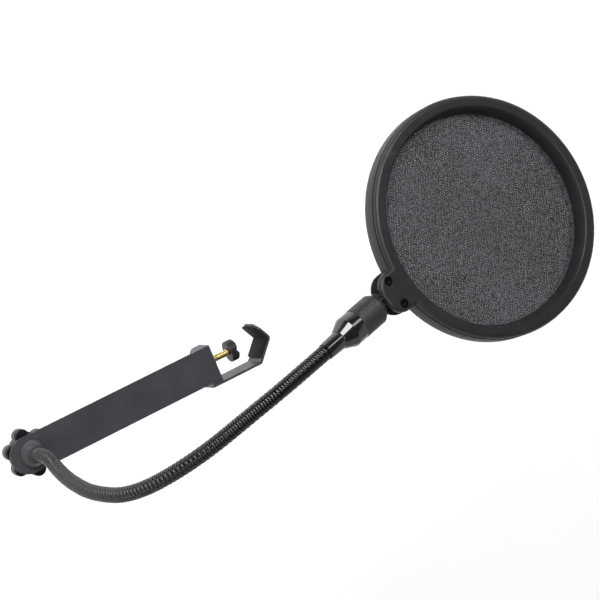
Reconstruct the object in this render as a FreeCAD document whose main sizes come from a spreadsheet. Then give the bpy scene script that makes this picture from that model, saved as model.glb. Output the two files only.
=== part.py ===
import FreeCAD, Part
import math
import os

import Sketcher

# Clip-on pop filter: a sheet-steel arm that clamps to a microphone stand, a gooseneck and a
# double-mesh hoop on a ball joint.  Millimetres.  The origin is on the axis of the clamped stand
# tube, at the middle of the jaw; +Z runs up the stand and +X along the arm towards the hook.

# alias, value, what it is
SIZES = [
    ("tube_rad", 9.5, "stand tube that the jaw holds in the modelled pose"),
    ("sheet_thk", 1.6, "steel sheet of the arm"),
    ("face_z", 13.0, "height of the arm's broad front face"),
    ("arm_end_x", -30.9, "end of the flat plate on the jaw side"),
    ("arm_half", 13.0, "half width of the flat plate"),
    ("stud_x", -178.4, "gooseneck stud, on the middle line of the arm"),
    ("round_x", -181.9, "centre of the round end of the plate"),
    ("stud_hole_rad", 4.3, "clearance hole for the gooseneck stud"),
    ("jaw_low_z", -14.0, "lower edge of the jaw strip"),
    ("jaw_high_z", 10.0, "upper edge of the jaw strip"),
    ("jaw_floor_y", -17.0, "outer face of the jaw's straight limb"),
    ("jaw_start_x", -38.9, "where the jaw strip folds out of the plate"),
    ("jaw_low_ang", 47.0, "direction of the lower limb of the hook, degrees"),
    ("jaw_high_ang", 118.0, "direction of the upper limb of the hook, degrees"),
    ("jaw_high_len", 15.0, "outer length of the upper limb"),
    ("fold_rad", 4.5, "outer radius of the fold between plate and jaw strip"),
    ("hook_bend", 3.2, "outer radius of the hook's bends"),
    ("tip_cut", 4.5, "corner cut on the hook's tip"),
    ("liner_thk", 2.0, "rubber lining of the hook"),
    ("liner_edge", 1.0, "steel left bare along each edge of the lining"),
    ("ear_len", 14.0, "stiffening ear, length along the plate"),
    ("ear_tip_len", 7.0, "stiffening ear, length at its far edge"),
    ("ear_depth", 18.0, "stiffening ear, depth behind the front face"),
    ("tab_half", 9.5, "half width of the end tab that carries the screw"),
    ("tab_low_z", -9.0, "lower edge of the end tab"),
    ("screw_rad", 2.5, "clamp screw, thread outside radius"),
    ("run_gap", 0.06, "radial running clearance"),
    ("bush_rad", 3.6, "threaded bush, boss radius"),
    ("bush_out", 4.0, "threaded bush, boss beyond the end tab"),
    ("bush_flange_rad", 5.4, "threaded bush, flange radius"),
    ("bush_flange_thk", 1.6, "threaded bush, flange thickness"),
    ("pad_face_x", -8.4, "pressure pad, front of its two lobes"),
    ("pad_len", 7.0, "pressure pad, length along the screw"),
    ("pad_rad", 7.8, "pressure pad, radius"),
    ("pad_rim", 5.6, "pressure pad, radius of its front where the rim slopes back"),
    ("pad_rim_deep", 1.6, "pressure pad, depth of that slope"),
    ("pad_edge", 0.5, "pressure pad, rounding of its back edge"),
    ("pad_notch", 2.6, "pressure pad, depth of its V notch"),
    ("pad_notch_half", 4.4, "pressure pad, half width of its V notch"),
    ("pad_bore_deep", 3.8, "pressure pad, depth of the screw's blind bore"),
    ("clip_thk", 0.9, "fork clip that keeps the screw in the pad"),
    ("clip_back", 1.2, "clip, distance from the back of the pad"),
    ("clip_half", 3.8, "clip, half width"),
    ("clip_end", 6.4, "clip, depth of its open end below the screw"),
    ("tip_play", 0.3, "free depth beyond the screw's tip"),
    ("neck_rad", 1.7, "groove of the screw that the clip runs in, radius"),
    ("grip_back_x", -68.0, "clamp knob, outer end"),
    ("grip_len", 11.0, "clamp knob, length"),
    ("grip_rad", 9.0, "clamp knob, core radius"),
    ("grip_lobe_rad", 3.5, "clamp knob, lobe radius"),
    ("grip_lobe_at", 7.2, "clamp knob, radius of the lobe centres"),
    ("grip_hub_rad", 5.0, "clamp knob, hub radius"),
    ("grip_hub_len", 3.0, "clamp knob, hub length"),
    ("star_core_rad", 14.2, "star knob, core radius"),
    ("star_lobe_rad", 5.4, "star knob, lobe radius"),
    ("star_lobe_at", 12.6, "star knob, radius of the lobe centres"),
    ("star_thk", 9.0, "star knob, thickness of the lobed head"),
    ("star_hub_rad", 9.0, "star knob, hub radius"),
    ("star_hub_len", 3.0, "star knob, hub length"),
    ("star_turn", 35.0, "star knob, angle of its first lobe, degrees"),
    ("edge_round", 1.2, "moulded edge radius of the star knob"),
    ("grip_round", 0.7, "moulded edge radius of the clamp knob"),
    ("washer_rad", 8.5, "steel washer under the star knob, radius"),
    ("washer_thk", 1.2, "steel washer, thickness"),
    ("washer_gap", 0.24, "radial clearance of the washer on the stud"),
    ("insert_rad", 6.5, "brass insert of the star knob, radius"),
    ("insert_len", 9.0, "brass insert, length"),
    ("stud_rad", 4.0, "gooseneck stud, thread outside radius"),
    ("stud_low_z", 1.5, "gooseneck stud, lower end"),
    ("stud_edge", 0.5, "gooseneck stud, bevel of its lower end"),
    ("disc_rad", 9.2, "fibre friction disc, radius"),
    ("disc_thk", 0.8, "fibre friction disc, thickness"),
    ("flange_rad", 9.5, "base flange, rim radius"),
    ("flange_rim", 1.4, "base flange, rim height"),
    ("flange_high", 6.0, "base flange, height"),
    ("flange_lip", 0.3, "base flange, how far its top stands out past the collar"),
    ("collar_rad", 6.2, "base collar, radius"),
    ("collar_high", 4.0, "base collar, height"),
    ("collar_edge", 0.7, "base collar, rounding of its rims"),
    ("ferrule_rad", 4.9, "base ferrule, radius"),
    ("coil_rad", 5.0, "gooseneck, outside radius"),
    ("coil_bore", 2.9, "gooseneck, bore radius"),
    ("socket_gap", 0.3, "clearance in each link of the gooseneck"),
    ("core_rad", 2.4, "plug of a gooseneck fitting inside the coil"),
    ("core_len", 7.0, "length of that plug"),
    ("top_len", 12.7, "top ferrule, length"),
    ("top_rad", 5.3, "top ferrule, radius at the coil"),
    ("top_end_rad", 5.9, "top ferrule, radius at the barrel"),
    ("cone_len", 7.8, "barrel, length of its cone"),
    ("barrel_len", 8.0, "barrel, length of its polished cylinder"),
    ("barrel_rad", 9.9, "barrel radius"),
    ("thread_rad", 4.0, "thread between the barrel and the ball stud, radius"),
    ("thread_len", 8.0, "thread engagement"),
    ("end_play", 1.0, "free depth below that thread"),
    ("grip_ring_len", 16.8, "ribbed collar, length"),
    ("grip_ring_rad", 10.0, "ribbed collar, radius"),
    ("seam_gap", 0.3, "seam between barrel and ribbed collar"),
    ("dome_len", 4.7, "dome of the ribbed collar, length"),
    ("dome_end_rad", 5.5, "dome end radius"),
    ("ring_edge", 0.5, "bevel of the ribbed collar at the seam"),
    ("cone_lip", 0.3, "step between the top ferrule and the cone"),
    ("counter_deep", 2.0, "depth of the thread's relief in the dome's end"),
    ("stem_len", 11.9, "bare stem from the dome to the ball's centre"),
    ("stem_rad", 2.5, "stem of the ball stud"),
    ("ball_rad", 5.0, "ball"),
    ("ball_gap", 0.1, "clearance on each side of the socket liners"),
    ("liner_wall", 0.6, "wall of a socket liner"),
    ("liner_low", 3.3, "height where a socket liner starts above the middle plane"),
    ("ball_at", 83.0, "ball centre from the hoop's centre"),
    ("hoop_rad", 77.5, "hoop outside radius"),
    ("half_depth", 8.0, "half of the head's depth"),
    ("seam_h", 3.9, "seam between the front and rear hoop"),
    ("seam_step", 0.4, "how much the front hoop stands back at the seam"),
    ("rim_round", 2.4, "rounding of the front rim"),
    ("mouth_rad", 69.6, "front opening radius"),
    ("mouth_lip", 0.8, "bevel at the front opening"),
    ("throat_rad", 67.2, "radius of the inner wall at the mesh"),
    ("wall_thk", 2.2, "hoop wall"),
    ("mesh_h", -1.8, "front face of the front mesh"),
    ("mesh_thk", 0.3, "mesh layer as a plain disc"),
    ("mesh_rad", 72.0, "radius of a mesh layer, with its clamped edge"),
    ("spacer_thk", 3.0, "ring between the mesh layers"),
    ("lug_gap", 3.9, "half gap between the lug plates"),
    ("lug_step", 0.15, "lug face below the hoop's face"),
    ("lug_end", 9.0, "lug, reach beyond the ball's centre"),
    ("lug_half", 13.6, "lug, half width"),
    ("lug_round", 2.8, "rounding of the lug's outer edge"),
    ("lug_root", 10.7, "how far the lug reaches in from the ball centre"),
    ("corner_rad", 11.0, "lug, corner radius"),
    ("bolt_at", 8.3, "lug screws, each side of the ball"),
    ("bolt_rad", 1.5, "lug screw, shank radius"),
    ("bolt_hole_rad", 1.65, "lug screw clearance hole"),
    ("head_rad", 2.7, "lug screw, head radius"),
    ("head_hole_rad", 2.95, "lug screw, counterbore radius"),
    ("head_high", 2.6, "lug screw, head height"),
    ("head_deep", 1.0, "lug screw head below the hoop's face"),
    ("hex_key", 2.5, "hexagon socket across flats"),
    ("hex_deep", 1.4, "hexagon socket depth"),
    ("nut_flats", 5.5, "lug nut across flats"),
    ("nut_thk", 2.2, "lug nut thickness"),
    ("nut_fit", 0.2, "play of a nut across its pocket"),
    ("flare_in", 5.5, "relief for the stem, where it starts from the ball's centre"),
    ("flare_high", 5.5, "relief for the stem, half height at the lug's end"),
    ("flare_sweep", 96.0, "relief for the stem, angle that it sweeps, degrees"),
    ("cut_over", 1.0, "how far a cutter runs past the face that it cuts"),
]

# The gooseneck's centre line, from the base ferrule to the top ferrule.  It is tangent to the
# middle of every run, which is where the links between the modelled segments are.
ROUTE = [
    (-178.4, 0.0, 33.0),
    (-178.4, 0.0, 46.0),
    (-181.4, -7.0, 68.0),
    (-185.4, -11.0, 102.0),
    (-186.4, -15.5, 145.0),
    (-178.4, -16.0, 198.0),
    (-148.7, -2.7, 248.3),
    (-108.6, 15.9, 281.4),
    (-91.5, 21.4, 288.3),
    (-58.86, 27.11, 280.78),
]
LINKS = [2, 3, 4, 5, 6, 7]  # runs whose middle holds a link
ARC_SHARE = 0.45  # how much of the shorter run an arc takes
PIPE_TOLERANCE = 0.01  # of the volume that a bent rod should have

HEAD_NORMAL = FreeCAD.Vector(0.077, 0.165, 0.983).normalize()
UP = FreeCAD.Vector(0, 0, 1)

document = FreeCAD.newDocument("pop_filter")
sheet = document.addObject("Spreadsheet::Sheet", "dim")
parts = []


def fill_sheet():
    for row, (alias, value, note) in enumerate(SIZES, start=1):
        sheet.set("A%d" % row, note)
        sheet.set("B%d" % row, str(value))
        sheet.setAlias("B%d" % row, alias)
    document.recompute()


def worth(formula):
    """The number that a formula of sheet cells gives."""
    result = sheet.evalExpression(formula.replace("dim.", ""))
    return float(getattr(result, "Value", result))


def size(alias):
    return worth("dim." + alias)


def vector(x, y, z):
    return FreeCAD.Vector(x, y, z)


# ---------------------------------------------------------------- drawing helpers


def new_body(name):
    body = document.addObject("PartDesign::Body", name)
    body.Label = name
    parts.append(body)
    return body


def new_sketch(body, plane, offset=None):
    """A sketch on one of the body's own origin planes, moved along its normal by a formula."""
    sketch = body.newObject("Sketcher::SketchObject", body.Name + "_sketch")
    support = next(item for item in body.Origin.OriginFeatures if item.Role == plane)
    sketch.AttachmentSupport = [(support, "")]
    sketch.MapMode = "FlatFace"
    if offset:
        sketch.setExpression(".AttachmentOffset.Base.z", offset)
    return sketch


def bind(sketch, kind, references, formula):
    index = sketch.addConstraint(Sketcher.Constraint(kind, *references, worth(formula)))
    sketch.setExpression("Constraints[%d]" % index, formula)


def pin_point(sketch, edge, end, x, y):
    """Holds one end of an edge at a place given by two formulas."""
    for kind, axis, formula in (("DistanceX", -2, x), ("DistanceY", -1, y)):
        if abs(worth(formula)) < 1e-9:
            sketch.addConstraint(Sketcher.Constraint("PointOnObject", edge, end, axis))
        else:
            bind(sketch, kind, (-1, 1, edge, end), formula)


def draw_outline(sketch, corners):
    """A closed outline of straight edges through corners given as formulas."""
    points = [vector(worth(x), worth(y), 0) for x, y in corners]
    first = sketch.GeometryCount
    count = len(points)
    for number, point in enumerate(points):
        sketch.addGeometry(Part.LineSegment(point, points[(number + 1) % count]), False)
    for number in range(count):
        after = first + (number + 1) % count
        sketch.addConstraint(Sketcher.Constraint("Coincident", first + number, 2, after, 1))
    for number, (x, y) in enumerate(corners):
        pin_point(sketch, first + number, 1, x, y)


def draw_circle(sketch, x, y, radius):
    centre = vector(worth(x), worth(y), 0)
    edge = sketch.addGeometry(Part.Circle(centre, UP, worth(radius)), False)
    pin_point(sketch, edge, 3, x, y)
    bind(sketch, "Radius", (edge,), radius)


def pad(body, sketch, length, backward=False):
    feature = body.newObject("PartDesign::Pad", body.Name + "_pad")
    feature.Profile = sketch
    feature.setExpression("Length", length)
    feature.Reversed = backward
    document.recompute()
    return feature


def pocket(body, sketch, length, backward=False):
    """Cuts a sketch out of the body, and makes sure that it did cut."""
    before = body.Shape.Volume
    feature = body.newObject("PartDesign::Pocket", body.Name + "_pocket")
    feature.Profile = sketch
    feature.setExpression("Length", length)
    feature.Reversed = backward
    document.recompute()
    if body.Shape.Volume > before - 0.01:
        raise RuntimeError("the pocket in %s cuts nothing" % body.Name)
    return feature


def turn(body, corners, sweep=None):
    """Turns a half outline of (radius, height) formulas about the body's Z axis."""
    sketch = new_sketch(body, "XZ_Plane")
    draw_outline(sketch, corners)
    feature = body.newObject("PartDesign::Revolution", body.Name + "_turned")
    feature.Profile = sketch
    feature.ReferenceAxis = (sketch, ["V_Axis"])
    if sweep:
        feature.setExpression("Angle", sweep)
        feature.Midplane = True
    document.recompute()
    return feature


def polar_pattern(body, feature, copies):
    pattern = body.newObject("PartDesign::PolarPattern", body.Name + "_pattern")
    pattern.Originals = [feature]
    axis = next(item for item in body.Origin.OriginFeatures if item.Role == "Z_Axis")
    pattern.Axis = (axis, [""])
    pattern.Angle = 360
    pattern.Occurrences = copies
    body.Tip = pattern
    document.recompute()
    return pattern


def round_edges(body, radius, wanted, kind="PartDesign::Fillet"):
    """Fillets or chamfers the edges of the tip that the test function wants."""
    tip = body.Tip
    names = []
    for number, edge in enumerate(tip.Shape.Edges, start=1):
        if wanted(edge):
            names.append("Edge%d" % number)
    feature = body.newObject(kind, body.Name + "_rounding")
    feature.Base = (tip, names)
    feature.setExpression("Radius" if kind.endswith("Fillet") else "Size", radius)
    document.recompute()
    return feature


def turned_part(name, corners, placement=None):
    body = new_body(name)
    turn(body, corners)
    if placement:
        body.Placement = placement
    return body


def tube_corners(inner, outer, low, high):
    return [(inner, low), (outer, low), (outer, high), (inner, high)]


def frame_from(origin, z_axis, x_hint):
    """A placement whose Z axis is z_axis and whose X axis is as near to x_hint as it can be."""
    z_axis = vector(*z_axis).normalize()
    y_axis = z_axis.cross(x_hint).normalize()
    x_axis = y_axis.cross(z_axis)
    matrix = FreeCAD.Matrix(
        x_axis.x, y_axis.x, z_axis.x, origin.x,
        x_axis.y, y_axis.y, z_axis.y, origin.y,
        x_axis.z, y_axis.z, z_axis.z, origin.z,
        0, 0, 0, 1,
    )
    return FreeCAD.Placement(matrix)


# ---------------------------------------------------------------- arm and jaw


def jaw_corner(reach, first, second):
    """Formulas of the corner between two faces that stand off the tube axis by reach.

    first and second are the directions of the faces' outward normals, in degrees."""
    middle = "((%s) + (%s)) / 2" % (first, second)
    half = "((%s) - (%s)) / 2" % (second, first)
    distance = "(%s) / cos((%s) * 1deg)" % (reach, half)
    return (
        "%s * cos((%s) * 1deg)" % (distance, middle),
        "%s * sin((%s) * 1deg)" % (distance, middle),
    )


LOW_NORMAL = "dim.jaw_low_ang - 90"
HIGH_NORMAL = "dim.jaw_high_ang - 90"
STEEL_IN = "dim.tube_rad + dim.liner_thk"
STEEL_OUT = STEEL_IN + " + dim.sheet_thk"


def on_low_limb(reach, height):
    """The point of the lower limb's face at a given height."""
    slope = "cos((%s) * 1deg)" % LOW_NORMAL
    rise = "sin((%s) * 1deg)" % LOW_NORMAL
    return ("((%s) - (%s) * %s) / %s" % (reach, height, rise, slope), height)


def on_high_limb(reach, back):
    """The point of the upper limb's face, a distance back from its tip."""
    corner = jaw_corner(STEEL_OUT, LOW_NORMAL, HIGH_NORMAL)
    along_x = "cos(dim.jaw_high_ang * 1deg)"
    along_y = "sin(dim.jaw_high_ang * 1deg)"
    inward = "((%s) - (%s))" % (STEEL_OUT, reach)
    length = "(dim.jaw_high_len - (%s))" % back
    x = "%s + %s * %s - %s * cos((%s) * 1deg)" % (corner[0], length, along_x, inward, HIGH_NORMAL)
    y = "%s + %s * %s - %s * sin((%s) * 1deg)" % (corner[1], length, along_y, inward, HIGH_NORMAL)
    return (x, y)


def make_arm():
    body = new_body("arm_plate")
    strip = new_sketch(body, "XY_Plane", "dim.jaw_low_z")
    inner_floor = "dim.jaw_floor_y + dim.sheet_thk"
    draw_outline(strip, [
        ("dim.jaw_start_x", "dim.jaw_floor_y"),
        on_low_limb(STEEL_OUT, "dim.jaw_floor_y"),
        jaw_corner(STEEL_OUT, LOW_NORMAL, HIGH_NORMAL),
        on_high_limb(STEEL_OUT, "0"),
        on_high_limb(STEEL_IN, "0"),
        jaw_corner(STEEL_IN, LOW_NORMAL, HIGH_NORMAL),
        on_low_limb(STEEL_IN, inner_floor),
        ("dim.jaw_start_x", inner_floor),
    ])
    pad(body, strip, "dim.jaw_high_z - dim.jaw_low_z")
    round_bends(body, "dim.hook_bend", [
        on_low_limb(STEEL_OUT, "dim.jaw_floor_y"),
        jaw_corner(STEEL_OUT, LOW_NORMAL, HIGH_NORMAL),
    ])
    round_bends(body, "dim.hook_bend - dim.sheet_thk", [on_low_limb(STEEL_IN, inner_floor)])

    fold = new_sketch(body, "YZ_Plane", "dim.jaw_start_x")
    draw_fold(fold)
    pad(body, fold, "dim.arm_end_x - dim.jaw_start_x")

    plate = new_sketch(body, "XY_Plane", "dim.face_z - dim.sheet_thk")
    draw_plate(plate)
    pad(body, plate, "dim.sheet_thk")

    ear = new_sketch(body, "XZ_Plane", "-dim.arm_half")
    draw_outline(ear, [
        ("dim.arm_end_x - dim.ear_len", "dim.face_z"),
        ("dim.arm_end_x", "dim.face_z"),
        ("dim.arm_end_x", "dim.face_z - dim.ear_depth"),
        ("dim.arm_end_x - dim.ear_tip_len", "dim.face_z - dim.ear_depth"),
        ("dim.arm_end_x - dim.ear_len", "dim.face_z - 3 * dim.sheet_thk"),
    ])
    pad(body, ear, "dim.sheet_thk")

    tab = new_sketch(body, "YZ_Plane", "dim.arm_end_x")
    draw_outline(tab, [
        ("-dim.tab_half", "dim.face_z"),
        ("-dim.tab_half", "dim.tab_low_z"),
        ("dim.tab_half", "dim.tab_low_z"),
        ("dim.tab_half", "dim.face_z"),
    ])
    draw_circle(tab, "0", "0", "dim.bush_rad")
    pad(body, tab, "dim.sheet_thk", backward=True)

    cut_tip(body)


def round_bends(body, radius, corners):
    """Rounds the jaw strip's upright edges at some of its corners."""
    runs_up = edge_test(size("jaw_low_z"), size("jaw_high_z"))
    points = [vector(worth(x), worth(y), 0) for x, y in corners]

    def at_bend(edge):
        middle = edge.CenterOfMass
        middle.z = 0
        return runs_up(edge) and any(middle.distanceToPoint(point) < 0.01 for point in points)

    round_edges(body, radius, at_bend)


def edge_test(low, high):
    """A test for edges that run straight up from one height to another."""
    def test(edge):
        box = edge.BoundBox
        flat = box.XLength < 1e-4 and box.YLength < 1e-4
        return flat and abs(box.ZMin - low) < 1e-3 and abs(box.ZMax - high) < 1e-3
    return test


def draw_plate(sketch):
    """The flat plate: square at the jaw, half round at the gooseneck, with the stud's hole."""
    half = size("arm_half")
    end = size("arm_end_x")
    centre = size("round_x")
    top = sketch.addGeometry(Part.LineSegment(vector(end, half, 0), vector(centre, half, 0)), False)
    arc = sketch.addGeometry(Part.Arc(
        vector(centre, half, 0), vector(centre - half, 0, 0), vector(centre, -half, 0)), False)
    low = sketch.addGeometry(Part.LineSegment(vector(centre, -half, 0), vector(end, -half, 0)), False)
    side = sketch.addGeometry(Part.LineSegment(vector(end, -half, 0), vector(end, half, 0)), False)
    sketch.addConstraint(Sketcher.Constraint("Coincident", top, 2, arc, 1))
    sketch.addConstraint(Sketcher.Constraint("Coincident", arc, 2, low, 1))
    sketch.addConstraint(Sketcher.Constraint("Coincident", low, 2, side, 1))
    sketch.addConstraint(Sketcher.Constraint("Coincident", side, 2, top, 1))
    pin_point(sketch, top, 1, "dim.arm_end_x", "dim.arm_half")
    pin_point(sketch, top, 2, "dim.round_x", "dim.arm_half")
    pin_point(sketch, low, 1, "dim.round_x", "-dim.arm_half")
    pin_point(sketch, low, 2, "dim.arm_end_x", "-dim.arm_half")
    bind(sketch, "DistanceX", (-1, 1, arc, 3), "dim.round_x")
    draw_circle(sketch, "dim.stud_x", "0", "dim.stud_hole_rad")


def draw_fold(sketch):
    """The quarter bend that joins the plate's edge to the jaw strip."""
    radius = size("fold_rad")
    inner = radius - size("sheet_thk")
    side = size("jaw_floor_y") + radius
    level = size("face_z") - radius
    centre = vector(side, level, 0)

    def arc(reach):
        points = [centre + vector(math.cos(angle), math.sin(angle), 0) * reach
                  for angle in (math.pi / 2, math.pi * 0.75, math.pi)]
        return sketch.addGeometry(Part.Arc(*points), False)

    outer_arc = arc(radius)
    inner_arc = arc(inner)
    top = sketch.addGeometry(Part.LineSegment(
        centre + vector(0, inner, 0), centre + vector(0, radius, 0)), False)
    end = sketch.addGeometry(Part.LineSegment(
        centre + vector(-radius, 0, 0), centre + vector(-inner, 0, 0)), False)
    outer_start, outer_end = arc_ends(sketch, outer_arc, centre + vector(0, radius, 0))
    inner_start, inner_end = arc_ends(sketch, inner_arc, centre + vector(0, inner, 0))
    sketch.addConstraint(Sketcher.Constraint("Coincident", top, 2, outer_arc, outer_start))
    sketch.addConstraint(Sketcher.Constraint("Coincident", outer_arc, outer_end, end, 1))
    sketch.addConstraint(Sketcher.Constraint("Coincident", end, 2, inner_arc, inner_end))
    sketch.addConstraint(Sketcher.Constraint("Coincident", inner_arc, inner_start, top, 1))
    pin_point(sketch, top, 2, "dim.jaw_floor_y + dim.fold_rad", "dim.face_z")
    pin_point(sketch, end, 1, "dim.jaw_floor_y", "dim.face_z - dim.fold_rad")
    bind(sketch, "Radius", (outer_arc,), "dim.fold_rad")
    bind(sketch, "Radius", (inner_arc,), "dim.fold_rad - dim.sheet_thk")


def arc_ends(sketch, edge, start):
    """Which end of an arc lies at start, and which doesn't."""
    first = sketch.Geometry[edge].StartPoint
    return (1, 2) if first.distanceToPoint(start) < 1e-6 else (2, 1)


def cut_tip(body):
    """Takes the two corners off the hook's tip, square to the upper limb."""
    tip = vector(*[worth(item) for item in on_high_limb(STEEL_OUT, "0")], 0)
    for level in (size("jaw_low_z"), size("jaw_high_z")):
        corner = tip + vector(0, 0, level)

        def at_corner(edge):
            middle = edge.CenterOfMass
            short = edge.Length < size("sheet_thk") + 0.1
            near = middle.distanceToPoint(corner) < size("sheet_thk")
            return short and near and abs(middle.z - level) < 1e-3

        round_edges(body, "dim.tip_cut", at_corner, kind="PartDesign::Chamfer")


def make_hook_liner():
    """Rubber strip glued along both limbs of the hook."""
    body = new_body("hook_liner")
    sketch = new_sketch(body, "XY_Plane", "dim.jaw_low_z + dim.liner_edge")
    start_y = "dim.jaw_floor_y + 3 * dim.sheet_thk"
    draw_outline(sketch, [
        on_low_limb(STEEL_IN, start_y),
        jaw_corner(STEEL_IN, LOW_NORMAL, HIGH_NORMAL),
        on_high_limb(STEEL_IN, "dim.liner_edge"),
        on_high_limb("dim.tube_rad", "dim.liner_edge"),
        jaw_corner("dim.tube_rad", LOW_NORMAL, HIGH_NORMAL),
        on_low_limb("dim.tube_rad", start_y),
    ])
    pad(body, sketch, "dim.jaw_high_z - dim.jaw_low_z - 2 * dim.liner_edge")


# ---------------------------------------------------------------- clamp screw

KNOB_LOBES = 6
ALONG_X = FreeCAD.Placement(vector(0, 0, 0), FreeCAD.Rotation(UP, vector(1, 0, 0)))


def make_screw_bush():
    """Flanged brass bush pressed into the end tab; its height axis is the screw's axis."""
    bore = "dim.screw_rad + dim.run_gap"
    inside = "dim.arm_end_x - dim.sheet_thk"
    turned_part("screw_bush", [
        (bore, inside + " - dim.bush_flange_thk"),
        ("dim.bush_flange_rad", inside + " - dim.bush_flange_thk"),
        ("dim.bush_flange_rad", inside),
        ("dim.bush_rad", inside),
        ("dim.bush_rad", "dim.arm_end_x + dim.bush_out"),
        (bore, "dim.arm_end_x + dim.bush_out"),
    ], ALONG_X)


PAD_BACK = "dim.pad_face_x - dim.pad_len"
CLIP_LOW = PAD_BACK + " + dim.clip_back"
CLIP_HIGH = CLIP_LOW + " + dim.clip_thk"


SCREW_START = "dim.grip_back_x + dim.grip_len / 3"


def make_clamp_screw():
    groove_low = CLIP_LOW + " - 2 * dim.run_gap"
    groove_high = CLIP_HIGH + " + 2 * dim.run_gap"
    tip = PAD_BACK + " + dim.pad_bore_deep - dim.tip_play"
    turned_part("clamp_screw", [
        ("0", SCREW_START),
        ("dim.screw_rad", SCREW_START),
        ("dim.screw_rad", groove_low),
        ("dim.neck_rad", groove_low),
        ("dim.neck_rad", groove_high),
        ("dim.screw_rad", groove_high),
        ("dim.screw_rad", tip),
        ("0", tip),
    ], ALONG_X)


def make_pressure_pad():
    """Round button on the screw's end, with a V across it for the stand tube."""
    body = turned_part("pressure_pad", [
        ("0", PAD_BACK),
        ("dim.pad_rad", PAD_BACK),
        ("dim.pad_rad", "dim.pad_face_x - dim.pad_rim_deep"),
        ("dim.pad_rim", "dim.pad_face_x"),
        ("0", "dim.pad_face_x"),
    ])

    def on_barrel(edge):
        return edge.BoundBox.ZLength < 1e-6 and edge.BoundBox.YLength > 2 * size("pad_rim") + 0.1

    round_edges(body, "dim.pad_edge", on_barrel)
    bore = new_sketch(body, "XY_Plane", PAD_BACK)
    draw_circle(bore, "0", "0", "dim.screw_rad + 2 * dim.run_gap")
    pocket(body, bore, "dim.pad_bore_deep", backward=True)
    notch = new_sketch(body, "YZ_Plane", "-dim.pad_rad")
    draw_outline(notch, [
        ("-dim.pad_notch_half", "dim.pad_face_x"),
        ("0", "dim.pad_face_x - dim.pad_notch"),
        ("dim.pad_notch_half", "dim.pad_face_x"),
    ])
    pocket(body, notch, "2 * dim.pad_rad", backward=True)
    slot = new_sketch(body, "YZ_Plane", "-dim.clip_half")
    draw_outline(slot, [
        ("-dim.clip_half", CLIP_LOW),
        ("dim.clip_half", CLIP_LOW),
        ("dim.clip_half", CLIP_HIGH),
        ("-dim.clip_half", CLIP_HIGH),
    ])
    pocket(body, slot, "dim.pad_rad + dim.clip_half", backward=True)
    body.Placement = ALONG_X


def make_pad_clip():
    """Fork pushed through the pad's slot, astride the screw's groove."""
    body = new_body("pad_clip")
    sketch = new_sketch(body, "YZ_Plane", CLIP_LOW)
    gap = "dim.neck_rad + 2 * dim.run_gap"
    draw_outline(sketch, [
        ("-dim.clip_half", "-dim.clip_end"),
        ("-(%s)" % gap, "-dim.clip_end"),
        ("-(%s)" % gap, gap),
        (gap, gap),
        (gap, "-dim.clip_end"),
        ("dim.clip_half", "-dim.clip_end"),
        ("dim.clip_half", "dim.clip_half"),
        ("-dim.clip_half", "dim.clip_half"),
    ])
    pad(body, sketch, "dim.clip_thk")


def make_lobed_knob(name, core, lobe, lobe_at, low, thickness, first_angle, rounding):
    """A round core with a ring of lobes, padded up from a height, with rounded rims."""
    body = new_body(name)
    disc = new_sketch(body, "XY_Plane", low)
    draw_circle(disc, "0", "0", core)
    pad(body, disc, thickness)
    petal = new_sketch(body, "XY_Plane", low)
    draw_circle(
        petal,
        "%s * cos(%s * 1deg)" % (lobe_at, first_angle),
        "%s * sin(%s * 1deg)" % (lobe_at, first_angle),
        lobe,
    )
    petal_pad = pad(body, petal, thickness)
    polar_pattern(body, petal_pad, KNOB_LOBES)
    bottom = worth(low)
    top = bottom + worth(thickness)

    def on_rim(edge):
        box = edge.BoundBox
        flat = box.ZLength < 1e-6
        return flat and (abs(box.ZMin - bottom) < 1e-4 or abs(box.ZMin - top) < 1e-4)

    round_edges(body, rounding, on_rim)
    return body


def make_clamp_knob():
    """Knob at the outer end of the clamp screw, with a hub on the side of the arm's tab."""
    body = make_lobed_knob(
        "clamp_knob", "dim.grip_rad", "dim.grip_lobe_rad", "dim.grip_lobe_at",
        "dim.grip_back_x", "dim.grip_len - dim.grip_hub_len", "30", "dim.grip_round")
    hub_low = "dim.grip_back_x + dim.grip_len - dim.grip_hub_len"
    hub = new_sketch(body, "XY_Plane", hub_low)
    draw_circle(hub, "0", "0", "dim.grip_hub_rad")
    pad(body, hub, "dim.grip_hub_len")
    hub_end = "dim.grip_back_x + dim.grip_len"
    bore = new_sketch(body, "XY_Plane", hub_end)
    draw_circle(bore, "0", "0", "dim.screw_rad")
    pocket(body, bore, "%s - (%s)" % (hub_end, SCREW_START))
    body.Placement = ALONG_X


# ---------------------------------------------------------------- star knob

PLATE_BACK = "dim.face_z - dim.sheet_thk"
KNOB_TOP = PLATE_BACK + " - dim.washer_thk"


def at_stud():
    return FreeCAD.Placement(vector(size("stud_x"), 0, 0), FreeCAD.Rotation())


def make_star_knob():
    low = KNOB_TOP + " - dim.star_hub_len - dim.star_thk"
    body = make_lobed_knob(
        "star_knob", "dim.star_core_rad", "dim.star_lobe_rad", "dim.star_lobe_at",
        low, "dim.star_thk", "dim.star_turn", "dim.edge_round")
    hub = new_sketch(body, "XY_Plane", low + " + dim.star_thk")
    draw_circle(hub, "0", "0", "dim.star_hub_rad")
    pad(body, hub, "dim.star_hub_len")
    seat = new_sketch(body, "XY_Plane", KNOB_TOP)
    draw_circle(seat, "0", "0", "dim.insert_rad")
    pocket(body, seat, "dim.insert_len")
    body.Placement = at_stud()


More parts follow.
